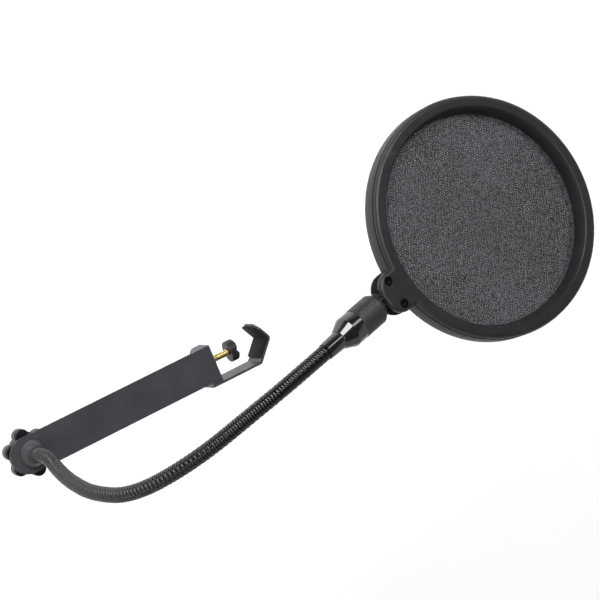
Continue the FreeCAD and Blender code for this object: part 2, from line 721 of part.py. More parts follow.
def make_stud_hardware():
    thread = "dim.stud_rad + dim.run_gap"
    turned_part("knob_insert", tube_corners(
        thread, "dim.insert_rad", KNOB_TOP + " - dim.insert_len", KNOB_TOP), at_stud())
    turned_part("knob_washer", tube_corners(
        "dim.stud_rad + dim.washer_gap", "dim.washer_rad", KNOB_TOP, PLATE_BACK), at_stud())
    turned_part("friction_disc", tube_corners(
        "dim.stud_rad", "dim.disc_rad", "dim.face_z", "dim.face_z + dim.disc_thk"), at_stud())


# ---------------------------------------------------------------- gooseneck

FLANGE_LOW = "dim.face_z + dim.disc_thk"
FLANGE_TOP = FLANGE_LOW + " + dim.flange_high"
COLLAR_TOP = FLANGE_TOP + " + dim.collar_high"
FERRULE_TOP = "%g" % ROUTE[0][2]


def make_neck_base():
    """Stud, flange, collar and ferrule that carry the gooseneck on the arm."""
    turned_part("base_stud", [
        ("0", "dim.stud_low_z"),
        ("dim.stud_rad - dim.stud_edge", "dim.stud_low_z"),
        ("dim.stud_rad", "dim.stud_low_z + dim.stud_edge"),
        ("dim.stud_rad", COLLAR_TOP),
        ("dim.core_rad", COLLAR_TOP),
        ("dim.core_rad", FERRULE_TOP + " + dim.core_len"),
        ("0", FERRULE_TOP + " + dim.core_len"),
    ], at_stud())
    turned_part("base_flange", [
        ("dim.stud_rad", FLANGE_LOW),
        ("dim.flange_rad", FLANGE_LOW),
        ("dim.flange_rad", FLANGE_LOW + " + dim.flange_rim"),
        ("dim.collar_rad + dim.flange_lip", FLANGE_TOP),
        ("dim.stud_rad", FLANGE_TOP),
    ], at_stud())
    collar = turned_part("base_collar", tube_corners(
        "dim.stud_rad", "dim.collar_rad", FLANGE_TOP, COLLAR_TOP), at_stud())
    rim = size("collar_rad") - 0.1

    def outer_rim(edge):
        return edge.BoundBox.ZLength < 1e-6 and edge.BoundBox.XLength > 2 * rim

    round_edges(collar, "dim.collar_edge", outer_rim)
    turned_part("base_ferrule", tube_corners(
        "dim.core_rad", "dim.ferrule_rad", COLLAR_TOP, FERRULE_TOP), at_stud())


def route_pieces():
    """The route as straight edges and tangent arcs, cut at the links.

    Gives one list of edges for each segment, and the point and direction of each link."""
    points = [vector(*point) for point in ROUTE]
    runs = [after - before for before, after in zip(points, points[1:])]
    segments = [[]]
    links = []
    pen = points[0]
    for number in range(1, len(points) - 1):
        shorter = min(runs[number - 1].Length, runs[number].Length)
        half_turn = runs[number - 1].getAngle(runs[number]) / 2
        radius = ARC_SHARE * shorter / math.tan(half_turn)
        before = vector(*runs[number - 1]).normalize()
        after = vector(*runs[number]).normalize()
        start = points[number] - before * (ARC_SHARE * shorter)
        end = points[number] + after * (ARC_SHARE * shorter)
        inward = (after - before).normalize()
        middle = points[number] + inward * (radius / math.cos(half_turn) - radius)
        segments[-1].append(Part.LineSegment(pen, start).toShape())
        segments[-1].append(Part.Arc(start, middle, end).toShape())
        pen = end
        if number in LINKS:
            link = (points[number] + points[number + 1]) * 0.5
            segments[-1].append(Part.LineSegment(pen, link).toShape())
            links.append((link, after))
            segments.append([])
            pen = link
    segments[-1].append(Part.LineSegment(pen, points[-1]).toShape())
    return segments, links


def pipe(edges, radius):
    """A round rod along tangent edges."""
    start = edges[0].valueAt(edges[0].FirstParameter)
    direction = edges[0].tangentAt(edges[0].FirstParameter)
    path = Part.Wire(edges)
    ring = Part.Wire(Part.Circle(start, direction, radius).toShape())
    rod = path.makePipeShell([ring], True, False)
    if abs(rod.Volume / (math.pi * radius ** 2 * path.Length) - 1) > PIPE_TOLERANCE:
        raise RuntimeError("a length of the gooseneck has the wrong volume")
    return rod


def make_segments():
    """Hollow lengths of coil; each starts in a round socket on the last one's round end."""
    outer = size("coil_rad")
    bore = size("coil_bore")
    segments, links = route_pieces()
    for number, edges in enumerate(segments, start=1):
        shape = pipe(edges, outer)
        inside = edges
        if number <= len(links):
            centre, after = links[number - 1]
            shape = shape.fuse(Part.makeSphere(outer, centre, after, 0, 90, 360))
            run_start = edges[-1].valueAt(edges[-1].FirstParameter)
            beyond = Part.LineSegment(run_start, centre + after * 2 * outer).toShape()
            inside = edges[:-1] + [beyond]
        if number > 1:
            shape = shape.cut(Part.makeSphere(outer + size("socket_gap"), *links[number - 2]))
        shape = shape.cut(pipe(inside, bore))
        piece = document.addObject("Part::Feature", "neck_segment_%d" % number)
        piece.Label = piece.Name
        piece.Shape = shape
        parts.append(piece)


# ---------------------------------------------------------------- connector and ball

ROUTE_END = vector(*ROUTE[-1])
STEM_AXIS = (ROUTE_END - vector(*ROUTE[-2])).normalize()
BARREL_LOW = "dim.top_len + dim.cone_len"
BARREL_TOP = BARREL_LOW + " + dim.barrel_len"
THREAD_LOW = BARREL_TOP + " - dim.thread_len"
THREAD_END = THREAD_LOW + " - dim.end_play"
RING_LOW = BARREL_TOP + " + dim.seam_gap"
RING_TOP = RING_LOW + " + dim.grip_ring_len"
DOME_TOP = RING_TOP + " + dim.dome_len"
RELIEF_LOW = DOME_TOP + " - dim.counter_deep"
BALL_HIGH = DOME_TOP + " + dim.stem_len"
# Stations of the dome's profile: share of its length, share of its drop in radius.
DOME_STEPS = [(0.35, 0.2), (0.7, 0.51)]


def ball_height():
    return worth(BALL_HIGH)


def make_connector():
    """Turned fittings between the gooseneck and the ball, drawn along the stem's axis."""
    place = frame_from(ROUTE_END, STEM_AXIS, UP)
    turned_part("top_ferrule", [
        ("0", "-dim.core_len"),
        ("dim.core_rad", "-dim.core_len"),
        ("dim.core_rad", "0"),
        ("dim.top_rad", "0"),
        ("dim.top_end_rad", "dim.top_len"),
        ("0", "dim.top_len"),
    ], place)
    socket = "dim.thread_rad + dim.run_gap"
    turned_part("end_barrel", [
        ("0", "dim.top_len"),
        ("dim.top_end_rad + dim.cone_lip", "dim.top_len"),
        ("dim.barrel_rad", BARREL_LOW),
        ("dim.barrel_rad", BARREL_TOP),
        (socket, BARREL_TOP),
        (socket, THREAD_END),
        ("0", THREAD_END),
    ], place)
    dome = [("dim.grip_ring_rad - %g * (dim.grip_ring_rad - dim.dome_end_rad)" % drop,
             RING_TOP + " + %g * dim.dome_len" % along) for along, drop in DOME_STEPS]
    turned_part("ribbed_collar", [
        ("dim.thread_rad", RING_LOW),
        ("dim.grip_ring_rad - dim.ring_edge", RING_LOW),
        ("dim.grip_ring_rad", RING_LOW + " + dim.ring_edge"),
        ("dim.grip_ring_rad", RING_TOP),
        *dome,
        ("dim.dome_end_rad", DOME_TOP),
        ("dim.stem_rad", DOME_TOP),
        ("dim.stem_rad", RELIEF_LOW),
        ("dim.thread_rad", RELIEF_LOW),
    ], place)
    make_ball_stud(place)


def make_ball_stud(place):
    """Threaded shank, shoulder, stem and ball in one turned piece."""
    body = new_body("ball_stud")
    turn(body, [
        ("0", THREAD_LOW),
        ("dim.thread_rad", THREAD_LOW),
        ("dim.thread_rad", RELIEF_LOW),
        ("dim.stem_rad", RELIEF_LOW),
        ("dim.stem_rad", BALL_HIGH),
        ("0", BALL_HIGH),
    ])
    ball = body.newObject("PartDesign::AdditiveSphere", "ball")
    support = next(item for item in body.Origin.OriginFeatures if item.Role == "XY_Plane")
    ball.AttachmentSupport = [(support, "")]
    ball.MapMode = "FlatFace"
    ball.setExpression(".AttachmentOffset.Base.z", BALL_HIGH)
    ball.setExpression("Radius", "dim.ball_rad")
    document.recompute()
    body.Placement = place


def make_socket_liners(place):
    """Two plastic cups that grip the ball between the lug plates."""
    inner = "dim.ball_rad + dim.ball_gap"
    outer = inner + " + dim.liner_wall"
    for name, side in (("socket_liner_front", 1), ("socket_liner_rear", -1)):
        shell = Part.makeSphere(worth(outer)).cut(Part.makeSphere(worth(inner)))
        keep = Part.makeCylinder(worth(outer) + 1, worth(outer), vector(0, 0, size("liner_low")))
        shape = shell.common(keep)
        if side < 0:
            shape = shape.mirror(vector(0, 0, 0), UP)
        piece = document.addObject("Part::Feature", name)
        piece.Label = name
        piece.Shape = shape
        piece.Placement = place
        parts.append(piece)


# ---------------------------------------------------------------- head


def head_place():
    """Placement of the head: X from the hoop's centre to the lug, Z out of the front face."""
    ball = ROUTE_END + STEM_AXIS * ball_height()
    outward = (HEAD_NORMAL * STEM_AXIS.dot(HEAD_NORMAL) - STEM_AXIS).normalize()
    centre = ball - outward * size("ball_at")
    return frame_from(centre, HEAD_NORMAL, outward), ball


def primitive(kind, name, centre, **formulas):
    """A Part primitive at a point, with its sizes bound to formulas."""
    item = document.addObject("Part::" + kind, name)
    for prop, formula in formulas.items():
        item.setExpression(prop, formula)
    item.Placement = FreeCAD.Placement(centre, FreeCAD.Rotation())
    return item


def make_lug(name, low, high, outer_face):
    """The tab that holds the ball, with round corners and a rounded outer edge."""
    body = document.addObject("PartDesign::Body", name)
    sketch = new_sketch(body, "XY_Plane", low)
    root_x = "dim.ball_at - dim.lug_root"
    end_x = "dim.ball_at + dim.lug_end"
    draw_outline(sketch, [
        (root_x, "-dim.lug_half"),
        (end_x, "-dim.lug_half"),
        (end_x, "dim.lug_half"),
        (root_x, "dim.lug_half"),
    ])
    pad(body, sketch, "(%s) - (%s)" % (high, low))
    upright = edge_test(worth(low), worth(high))

    def at_corner(edge):
        return upright(edge) and edge.CenterOfMass.x > size("ball_at")

    round_edges(body, "dim.corner_rad", at_corner)

    def on_outline(edge):
        box = edge.BoundBox
        flat = box.ZLength < 1e-6 and abs(box.ZMin - worth(outer_face)) < 1e-4
        return flat and box.XMax > size("ball_at") - size("lug_root") + 0.01

    round_edges(body, "dim.lug_round", on_outline)
    return body


def make_flare(name, side):
    """Relief that lets the stem swing and tilt: a slanted groove about the ball's centre."""
    body = document.addObject("PartDesign::Body", name)
    turn(body, [
        ("dim.flare_in", side + "(dim.lug_gap - dim.cut_over)"),
        ("dim.lug_end + 2 * dim.cut_over", side + "(dim.lug_gap - dim.cut_over)"),
        ("dim.lug_end + 2 * dim.cut_over", side + "dim.flare_high"),
        ("dim.flare_in", side + "dim.lug_gap"),
    ], sweep="dim.flare_sweep")
    body.Placement = FreeCAD.Placement(vector(size("ball_at"), 0, 0), FreeCAD.Rotation())
    return body


def make_hoop(name, ring_corners, rim_rad, outer_face, side, tools, place):
    """One half of the head: a turned ring with its lug, less the seats for ball and screws."""
    ring = document.addObject("PartDesign::Body", name + "_ring")
    turn(ring, ring_corners)

    def outer_rim(edge):
        return edge_ring(edge, worth(rim_rad), worth(outer_face))

    round_edges(ring, "dim.rim_round", outer_rim)
    inner = side + "dim.lug_gap"
    outer = side + "(dim.half_depth - dim.lug_step)"
    low, high = (outer, inner) if side else (inner, outer)
    lug = make_lug(name + "_lug", low, high, outer)
    joined = document.addObject("Part::MultiFuse", name + "_joined")
    joined.Shapes = [ring, lug]
    ball = vector(size("ball_at"), 0, 0)
    seat = primitive("Sphere", name + "_seat", ball,
                     Radius="dim.ball_rad + 2 * dim.ball_gap + dim.liner_wall")
    flare = make_flare(name + "_flare", side)
    cutters = document.addObject("Part::MultiFuse", name + "_cutters")
    cutters.Shapes = [seat, flare] + tools
    piece = document.addObject("Part::Cut", name)
    piece.Label = name
    piece.Base = joined
    piece.Tool = cutters
    document.recompute()
    if piece.Shape.Volume > joined.Shape.Volume - 100:
        raise RuntimeError("the seats in %s cut too little" % name)
    piece.Placement = place
    parts.append(piece)


def bolt_places():
    return [vector(size("ball_at"), side * size("bolt_at"), 0) for side in (1, -1)]


def make_front_hoop(place):
    outer = "dim.hoop_rad - dim.seam_step"
    ring = [
        ("dim.throat_rad", "dim.mesh_h"),
        ("dim.throat_rad + dim.wall_thk", "dim.mesh_h"),
        ("dim.mouth_rad + dim.wall_thk", "dim.half_depth - 2 * dim.wall_thk"),
        (outer + " - dim.wall_thk", "dim.half_depth - dim.wall_thk"),
        (outer + " - dim.wall_thk", "dim.seam_h"),
        (outer, "dim.seam_h"),
        (outer, "dim.half_depth"),
        ("dim.mouth_rad + dim.mouth_lip", "dim.half_depth"),
        ("dim.mouth_rad", "dim.half_depth - dim.mouth_lip"),
    ]
    tools = []
    floor = size("half_depth") - size("head_high") - size("head_deep")
    for number, bolt in enumerate(bolt_places()):
        tools.append(primitive("Cylinder", "front_hole_%d" % number, bolt,
                               Radius="dim.bolt_hole_rad", Height="dim.half_depth"))
        tools.append(primitive("Cylinder", "counterbore_%d" % number, bolt + UP * floor,
                               Radius="dim.head_hole_rad", Height="dim.half_depth"))
    make_hoop("front_hoop", ring, outer, "dim.half_depth", "", tools, place)


def edge_ring(edge, radius, level):
    """True for a full circle of a given radius about Z at a given height."""
    box = edge.BoundBox
    flat = box.ZLength < 1e-6 and abs(box.ZMin - level) < 1e-4
    return flat and abs(box.XLength - 2 * radius) < 1e-3


STACK_LOW = "dim.mesh_h - 2 * dim.mesh_thk - dim.spacer_thk"


def make_rear_hoop(place):
    ring = [
        ("dim.throat_rad", "-dim.half_depth"),
        ("dim.hoop_rad", "-dim.half_depth"),
        ("dim.hoop_rad", "dim.seam_h"),
        ("dim.hoop_rad - dim.wall_thk", "dim.seam_h"),
        ("dim.hoop_rad - dim.wall_thk", STACK_LOW),
        ("dim.throat_rad", STACK_LOW),
    ]
    tools = []
    back = UP * size("half_depth")
    for number, bolt in enumerate(bolt_places()):
        tools.append(primitive("Cylinder", "rear_hole_%d" % number, bolt - back,
                               Radius="dim.bolt_hole_rad", Height="dim.half_depth"))
        tools.append(primitive("Prism", "nut_seat_%d" % number, bolt - back,
                               Circumradius="(dim.nut_flats + dim.nut_fit) / 2 / cos(30deg)",
                               Height="dim.nut_thk + dim.lug_step"))
    make_hoop("rear_hoop", ring, "dim.hoop_rad", "-dim.half_depth", "-", tools, place)


def make_meshes(place):
    """Two nylon layers with a ring between them, clamped between the hoops."""
    spacer_top = "dim.mesh_h - dim.mesh_thk"
    spacer_low = spacer_top + " - dim.spacer_thk"
    turned_part("mesh_front", tube_corners("0", "dim.mesh_rad", spacer_top, "dim.mesh_h"), place)
    turned_part("mesh_rear", tube_corners("0", "dim.mesh_rad", STACK_LOW, spacer_low), place)
    turned_part("mesh_spacer", tube_corners(
        "dim.throat_rad", "dim.mesh_rad", spacer_low, spacer_top), place)


def make_lug_fasteners(place):
    """Two socket screws and their nuts; each pair of equal pieces is one node."""
    head_top = size("half_depth") - size("head_deep")
    head_low = head_top - size("head_high")
    nut_low = size("lug_step") - size("half_depth")
    screws = []
    nuts = []
    for centre in bolt_places():
        shank_len = head_low - nut_low
        shank = Part.makeCylinder(size("bolt_rad"), shank_len, centre + UP * nut_low)
        head = Part.makeCylinder(size("head_rad"), size("head_high"), centre + UP * head_low)
        key = prism(centre + UP * (head_top - size("hex_deep")), size("hex_key"), size("hex_deep"))
        screws.append(shank.fuse(head).cut(key).removeSplitter())
        nut = prism(centre + UP * nut_low, size("nut_flats"), size("nut_thk"))
        bore = Part.makeCylinder(size("bolt_rad"), size("nut_thk"), centre + UP * nut_low)
        nuts.append(nut.cut(bore))
    for name, solids in (("lug_screws", screws), ("lug_nuts", nuts)):
        piece = document.addObject("Part::Feature", name)
        piece.Label = name
        piece.Shape = Part.makeCompound(solids)
        piece.Placement = place
        parts.append(piece)


def prism(base, flats, height):
    """A hexagonal prism standing on base."""
    reach = flats / 2 / math.cos(math.pi / 6)
    corners = [base + vector(math.cos(turn_by), math.sin(turn_by), 0) * reach
               for turn_by in [math.pi / 3 * number for number in range(7)]]
    return Part.Face(Part.makePolygon(corners)).extrude(UP * height)


# ---------------------------------------------------------------- build and write


PAIRED = ("lug_screws", "lug_nuts")


def check_and_write():
    document.recompute()
    for item in document.Objects:
        if "Invalid" in item.State or "Error" in item.State:
            raise RuntimeError("%s has failed" % item.Name)
    os.makedirs("parts", exist_ok=True)
    for piece in parts:
        shape = piece.Shape
        if shape.isNull() or not shape.isValid() or not shape.Solids:
            raise RuntimeError("%s has no sound shape" % piece.Label)
        expected = 2 if piece.Label in PAIRED else 1
        if len(shape.Solids) != expected:
            raise RuntimeError("%s is in %d solids" % (piece.Label, len(shape.Solids)))
        shape.exportStep(os.path.join("parts", piece.Label + ".step"))
        print("%-20s %8.2f mm3 in %d solids" % (piece.Label, shape.Volume, len(shape.Solids)))


fill_sheet()
make_arm()
make_hook_liner()
make_screw_bush()
make_clamp_screw()
make_pressure_pad()
make_pad_clip()
make_clamp_knob()
make_star_knob()
make_stud_hardware()
make_neck_base()
make_segments()
make_connector()
head_placement, ball_centre = head_place()
make_socket_liners(FreeCAD.Placement(ball_centre, head_placement.Rotation))
make_front_hoop(head_placement)
make_rear_hoop(head_placement)
make_meshes(head_placement)
make_lug_fasteners(head_placement)
check_and_write()
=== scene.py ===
"""Looks for the clip-on pop filter: gooseneck wires, knitted screens, turned fittings and materials.

Lengths in this script are in millimetres in the row frame, and become metres when a mesh is made."""

import math

import bmesh
import bpy
from mathutils import Matrix, Vector


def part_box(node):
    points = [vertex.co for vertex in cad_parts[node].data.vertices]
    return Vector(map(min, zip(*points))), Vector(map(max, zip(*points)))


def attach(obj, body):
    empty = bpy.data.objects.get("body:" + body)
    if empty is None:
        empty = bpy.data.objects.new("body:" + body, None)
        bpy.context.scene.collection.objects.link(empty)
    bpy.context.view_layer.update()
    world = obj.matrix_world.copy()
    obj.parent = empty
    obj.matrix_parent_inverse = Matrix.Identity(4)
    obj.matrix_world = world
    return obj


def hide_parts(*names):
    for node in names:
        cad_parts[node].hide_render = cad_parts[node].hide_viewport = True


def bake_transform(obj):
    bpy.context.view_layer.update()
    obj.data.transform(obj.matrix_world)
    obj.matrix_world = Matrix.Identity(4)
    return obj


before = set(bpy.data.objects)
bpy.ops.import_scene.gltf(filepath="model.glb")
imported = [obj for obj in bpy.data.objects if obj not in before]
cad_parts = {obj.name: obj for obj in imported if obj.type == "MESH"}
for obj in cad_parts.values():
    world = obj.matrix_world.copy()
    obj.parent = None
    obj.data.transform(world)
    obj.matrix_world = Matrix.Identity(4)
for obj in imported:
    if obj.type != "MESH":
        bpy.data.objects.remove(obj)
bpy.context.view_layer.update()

MM = 0.001
UP = Vector((0, 0, 1))

# ---------------------------------------------------------------- sizes shared with the CAD model

ROUTE = [
    (-178.4, 0.0, 33.0),
    (-178.4, 0.0, 46.0),
    (-181.4, -7.0, 68.0),
    (-185.4, -11.0, 102.0),
    (-186.4, -15.5, 145.0),
    (-178.4, -16.0, 198.0),
    (-148.7, -2.7, 248.3),
    (-108.6, 15.9, 281.4),
    (-91.5, 21.4, 288.3),
    (-58.86, 27.11, 280.78),
]
FIRST_LINK = 2  # the first run of the route that has a link at its middle
LINK_COUNT = 6
NECK_BODIES = ["neck_base"] + ["neck_link_%d" % number for number in range(2, 8)]
COIL_RAD = 5.0

STUD_X = -178.4
FLANGE_LOW = 13.8
FLANGE_RAD = 9.5
FLANGE_RIM = 1.4
FLANGE_TOP = 19.8
COLLAR_RAD = 6.2
COLLAR_TOP = 23.8
FERRULE_RAD = 4.9
FERRULE_TOP = 33.0
STUD_RAD = 4.0
STUD_LOW = 1.5

FERRULE_END = 12.7
BARREL_LOW = 20.5
BARREL_TOP = 28.5
RING_LOW = 28.8
RING_TOP = 45.6
DOME_TOP = 50.3
BALL_HIGH = 62.2
BARREL_RAD = 9.9
RING_RAD = 10.0
BALL_RAD = 5.0
STEM_RAD = 2.5

HEAD_NORMAL = Vector((0.077, 0.165, 0.983)).normalized()
BALL_AT = 83.0
MESH_RAD = 72.0
MESH_LEVELS = {"front": -1.95, "rear": -5.25}

SCREW_RAD = 2.5
SCREW_PITCH = 0.8
SCREW_FROM = -64.3
THREAD_FROM = -56.0
THREAD_TO = -15.8
GROOVE_FROM = -14.3
GROOVE_TO = -13.2
GROOVE_RAD = 1.7
SCREW_TO = -11.95

TUBE_RAD = 9.5
LINER_THK = 2.0
LINER_LOW = -13.0
LINER_HIGH = 9.0
LOW_NORMAL = math.radians(-43)
HIGH_NORMAL = math.radians(28)


def place_from(origin, z_axis, x_hint):
    """Matrix, in millimetres, of a frame with its Z along z_axis and X as near x_hint as it goes."""
    z = Vector(z_axis).normalized()
    x = (Vector(x_hint) - z * z.dot(Vector(x_hint))).normalized()
    rows = Matrix((x, z.cross(x), z)).transposed().to_4x4()
    rows.translation = Vector(origin)
    return rows


ROUTE_END = Vector(ROUTE[-1])
STEM_AXIS = (ROUTE_END - Vector(ROUTE[-2])).normalized()
CONNECTOR = place_from(ROUTE_END, STEM_AXIS, UP)
BALL = ROUTE_END + STEM_AXIS * BALL_HIGH
OUTWARD = (HEAD_NORMAL * STEM_AXIS.dot(HEAD_NORMAL) - STEM_AXIS).normalized()
HEAD = place_from(BALL - OUTWARD * BALL_AT, HEAD_NORMAL, OUTWARD)
AT_STUD = Matrix.Translation((STUD_X, 0, 0))
ALONG_X = place_from((0, 0, 0), (1, 0, 0), UP)

# ---------------------------------------------------------------- material tools


class Shade:
    """A node material: its principled shader, and a coordinate that counts in millimetres."""

    def __init__(self, name, colour, rough, **values):
        self.material = bpy.data.materials.new(name)
        self.material.use_nodes = True
        self.tree = self.material.node_tree
        self.shader = self.tree.nodes["Principled BSDF"]
        self.colour = colour
        self.shader.inputs["Base Color"].default_value = (*colour, 1)
        self.shader.inputs["Roughness"].default_value = rough
        for key, value in values.items():
            self.shader.inputs[key.replace("_", " ")].default_value = value
        coords = self.node("ShaderNodeTexCoord")
        scaled = self.node("ShaderNodeVectorMath", operation="SCALE")
        scaled.inputs["Scale"].default_value = 1 / MM
        self.link(coords.outputs["Object"], scaled.inputs[0])
        self.place = scaled.outputs[0]

    def node(self, kind, **settings):
        made = self.tree.nodes.new(kind)
        for key, value in settings.items():
            setattr(made, key, value)
        return made

    def link(self, source, target):
        self.tree.links.new(source, target)

    def stretched(self, scale):
        made = self.node("ShaderNodeMapping")
        made.inputs["Scale"].default_value = scale
        self.link(self.place, made.inputs["Vector"])
        return made.outputs[0]

    def noise(self, per_mm, detail=3.0, place=None):
        made = self.node("ShaderNodeTexNoise")
        made.inputs["Scale"].default_value = per_mm
        made.inputs["Detail"].default_value = detail
        self.link(place or self.place, made.inputs["Vector"])
        return made.outputs["Fac"]

    def cells(self, per_mm):
        made = self.node("ShaderNodeTexVoronoi")
        made.inputs["Scale"].default_value = per_mm
        self.link(self.place, made.inputs["Vector"])
        return made.outputs["Distance"]

    def spread(self, value, low, high, from_low=0.3, from_high=0.7):
        made = self.node("ShaderNodeMapRange")
        made.inputs["From Min"].default_value = from_low
        made.inputs["From Max"].default_value = from_high
        made.inputs["To Min"].default_value = low
        made.inputs["To Max"].default_value = high
        self.link(value, made.inputs["Value"])
        return made.outputs["Result"]

    def math(self, operation, first, second):
        made = self.node("ShaderNodeMath", operation=operation)
        for value, socket in zip((first, second), made.inputs):
            if isinstance(value, (int, float)):
                socket.default_value = value
            else:
                self.link(value, socket)
        return made.outputs[0]

    def tint(self, amount, light, dark=None):
        """Colour that goes from the base colour (or dark) to light as amount goes from 0 to 1."""
        made = self.node("ShaderNodeMix", data_type="RGBA")
        made.inputs["A"].default_value = (*(dark or self.colour), 1)
        made.inputs["B"].default_value = (*light, 1)
        self.link(amount, made.inputs["Factor"])
        self.link(made.outputs["Result"], self.shader.inputs["Base Color"])

    def roughen(self, amount, low, high):
        self.link(self.spread(amount, low, high), self.shader.inputs["Roughness"])

    def bump(self, *layers):
        """Bump from layers of (height socket, depth in millimetres)."""
        below = None
        for height, depth in layers:
            made = self.node("ShaderNodeBump")
            made.inputs["Strength"].default_value = 1.0
            made.inputs["Distance"].default_value = depth * MM
            self.link(height, made.inputs["Height"])
            if below:
                self.link(below, made.inputs["Normal"])
            below = made.outputs["Normal"]
        self.link(below, self.shader.inputs["Normal"])


def lighter(colour, factor):
    return tuple(channel * factor for channel in colour)


def make_painted(name, colour, rough):
    """Baked satin paint: faint orange peel and a slow change of tint and gloss."""
    shade = Shade(name, colour, rough)
    slow = shade.noise(0.05, 4)
    shade.tint(shade.spread(slow, 0, 1), lighter(colour, 1.18), lighter(colour, 0.88))
    shade.roughen(shade.noise(0.3, 5), rough - 0.06, rough + 0.06)
    shade.bump((shade.noise(0.9, 2), 0.05), (shade.noise(5, 2), 0.012))
    return shade.material


def make_gloss(name, colour, rough, wave=0.006, ior=1.75):
    """Polished black plating, with a faint waviness and smears."""
    shade = Shade(name, colour, rough, IOR=ior)
    smear = shade.noise(0.16, 5)
    shade.tint(shade.spread(smear, 0, 1), lighter(colour, 1.5))
    shade.roughen(shade.noise(0.5, 6), rough - 0.03, rough + 0.05)
    shade.bump((shade.noise(0.35, 2), wave), (shade.noise(9, 2), 0.002))
    return shade.material


def make_moulded(name, colour, rough, grain=0.03):
    """Moulded plastic with a fine spark-eroded grain."""
    shade = Shade(name, colour, rough, Specular_IOR_Level=0.36)
    slow = shade.noise(0.04, 4)
    shade.tint(shade.spread(slow, 0, 1), lighter(colour, 1.25), lighter(colour, 0.85))
    shade.roughen(shade.noise(0.25, 5), rough - 0.05, rough + 0.07)
    shade.bump((shade.cells(2.6), grain), (shade.noise(6, 3), grain * 0.4), (shade.noise(0.08, 2), 0.1))
    return shade.material


def make_metal(name, colour, rough, stretch=(1, 1, 1)):
    """Turned metal: tool marks drawn out by the stretch, and light tarnish."""
    shade = Shade(name, colour, rough, Metallic=1.0)
    tarnish = shade.noise(0.22, 6)
    shade.tint(shade.spread(tarnish, 0, 1, 0.35, 0.75), lighter(colour, 0.62))
    shade.roughen(shade.noise(0.8, 5), rough - 0.05, rough + 0.12)
    marks = shade.noise(1.0, 3, shade.stretched(stretch))
    shade.bump((marks, 0.012))
    return shade.material


def make_rubber(name, colour):
    """Dull rubber with a coarse pebbled skin and patches of dust."""
    shade = Shade(name, colour, 0.8, Specular_IOR_Level=0.2)
    dust = shade.noise(0.3, 6)
    shade.tint(shade.spread(dust, 0, 1, 0.45, 0.75), lighter(colour, 2.2))
    shade.roughen(shade.noise(1.2, 4), 0.7, 0.9)
    shade.bump((shade.cells(1.1), 0.12), (shade.noise(2.5, 4), 0.05))
    return shade.material


def make_fibre(name, colour):
    """Pressed fibre with its threads drawn out one way."""
    shade = Shade(name, colour, 0.85)
    threads = shade.noise(1.0, 5, shade.stretched((1.6, 0.5, 1)))
    shade.tint(shade.spread(threads, 0, 1), lighter(colour, 2.0))
    shade.bump((threads, 0.06), (shade.noise(3, 4), 0.03))
    return shade.material


KNIT_WIDE = 0.78  # mesh across the columns of the knit
KNIT_HIGH = 0.66  # mesh along the columns
KNIT_HOLE = 0.22  # radius of a hole, as a share of the mesh
KNIT_WAVES = 0.05  # waves of the rows, per millimetre
KNIT_PULL = 3.2  # how far a wave pulls the rows
KNIT_BRIGHTEST_GLINT = 2.6  # brightest painted glint on the threads, as a multiple of the colour
KNIT_DARKEST_SHADE = 0.1  # darkest painted shade on the threads
CRINKLE_GLINTS_PER_MM = 0.58  # painted glints and shade of the crinkles, per millimetre
CLOUDS = 0.02  # slow changes of tone, per millimetre


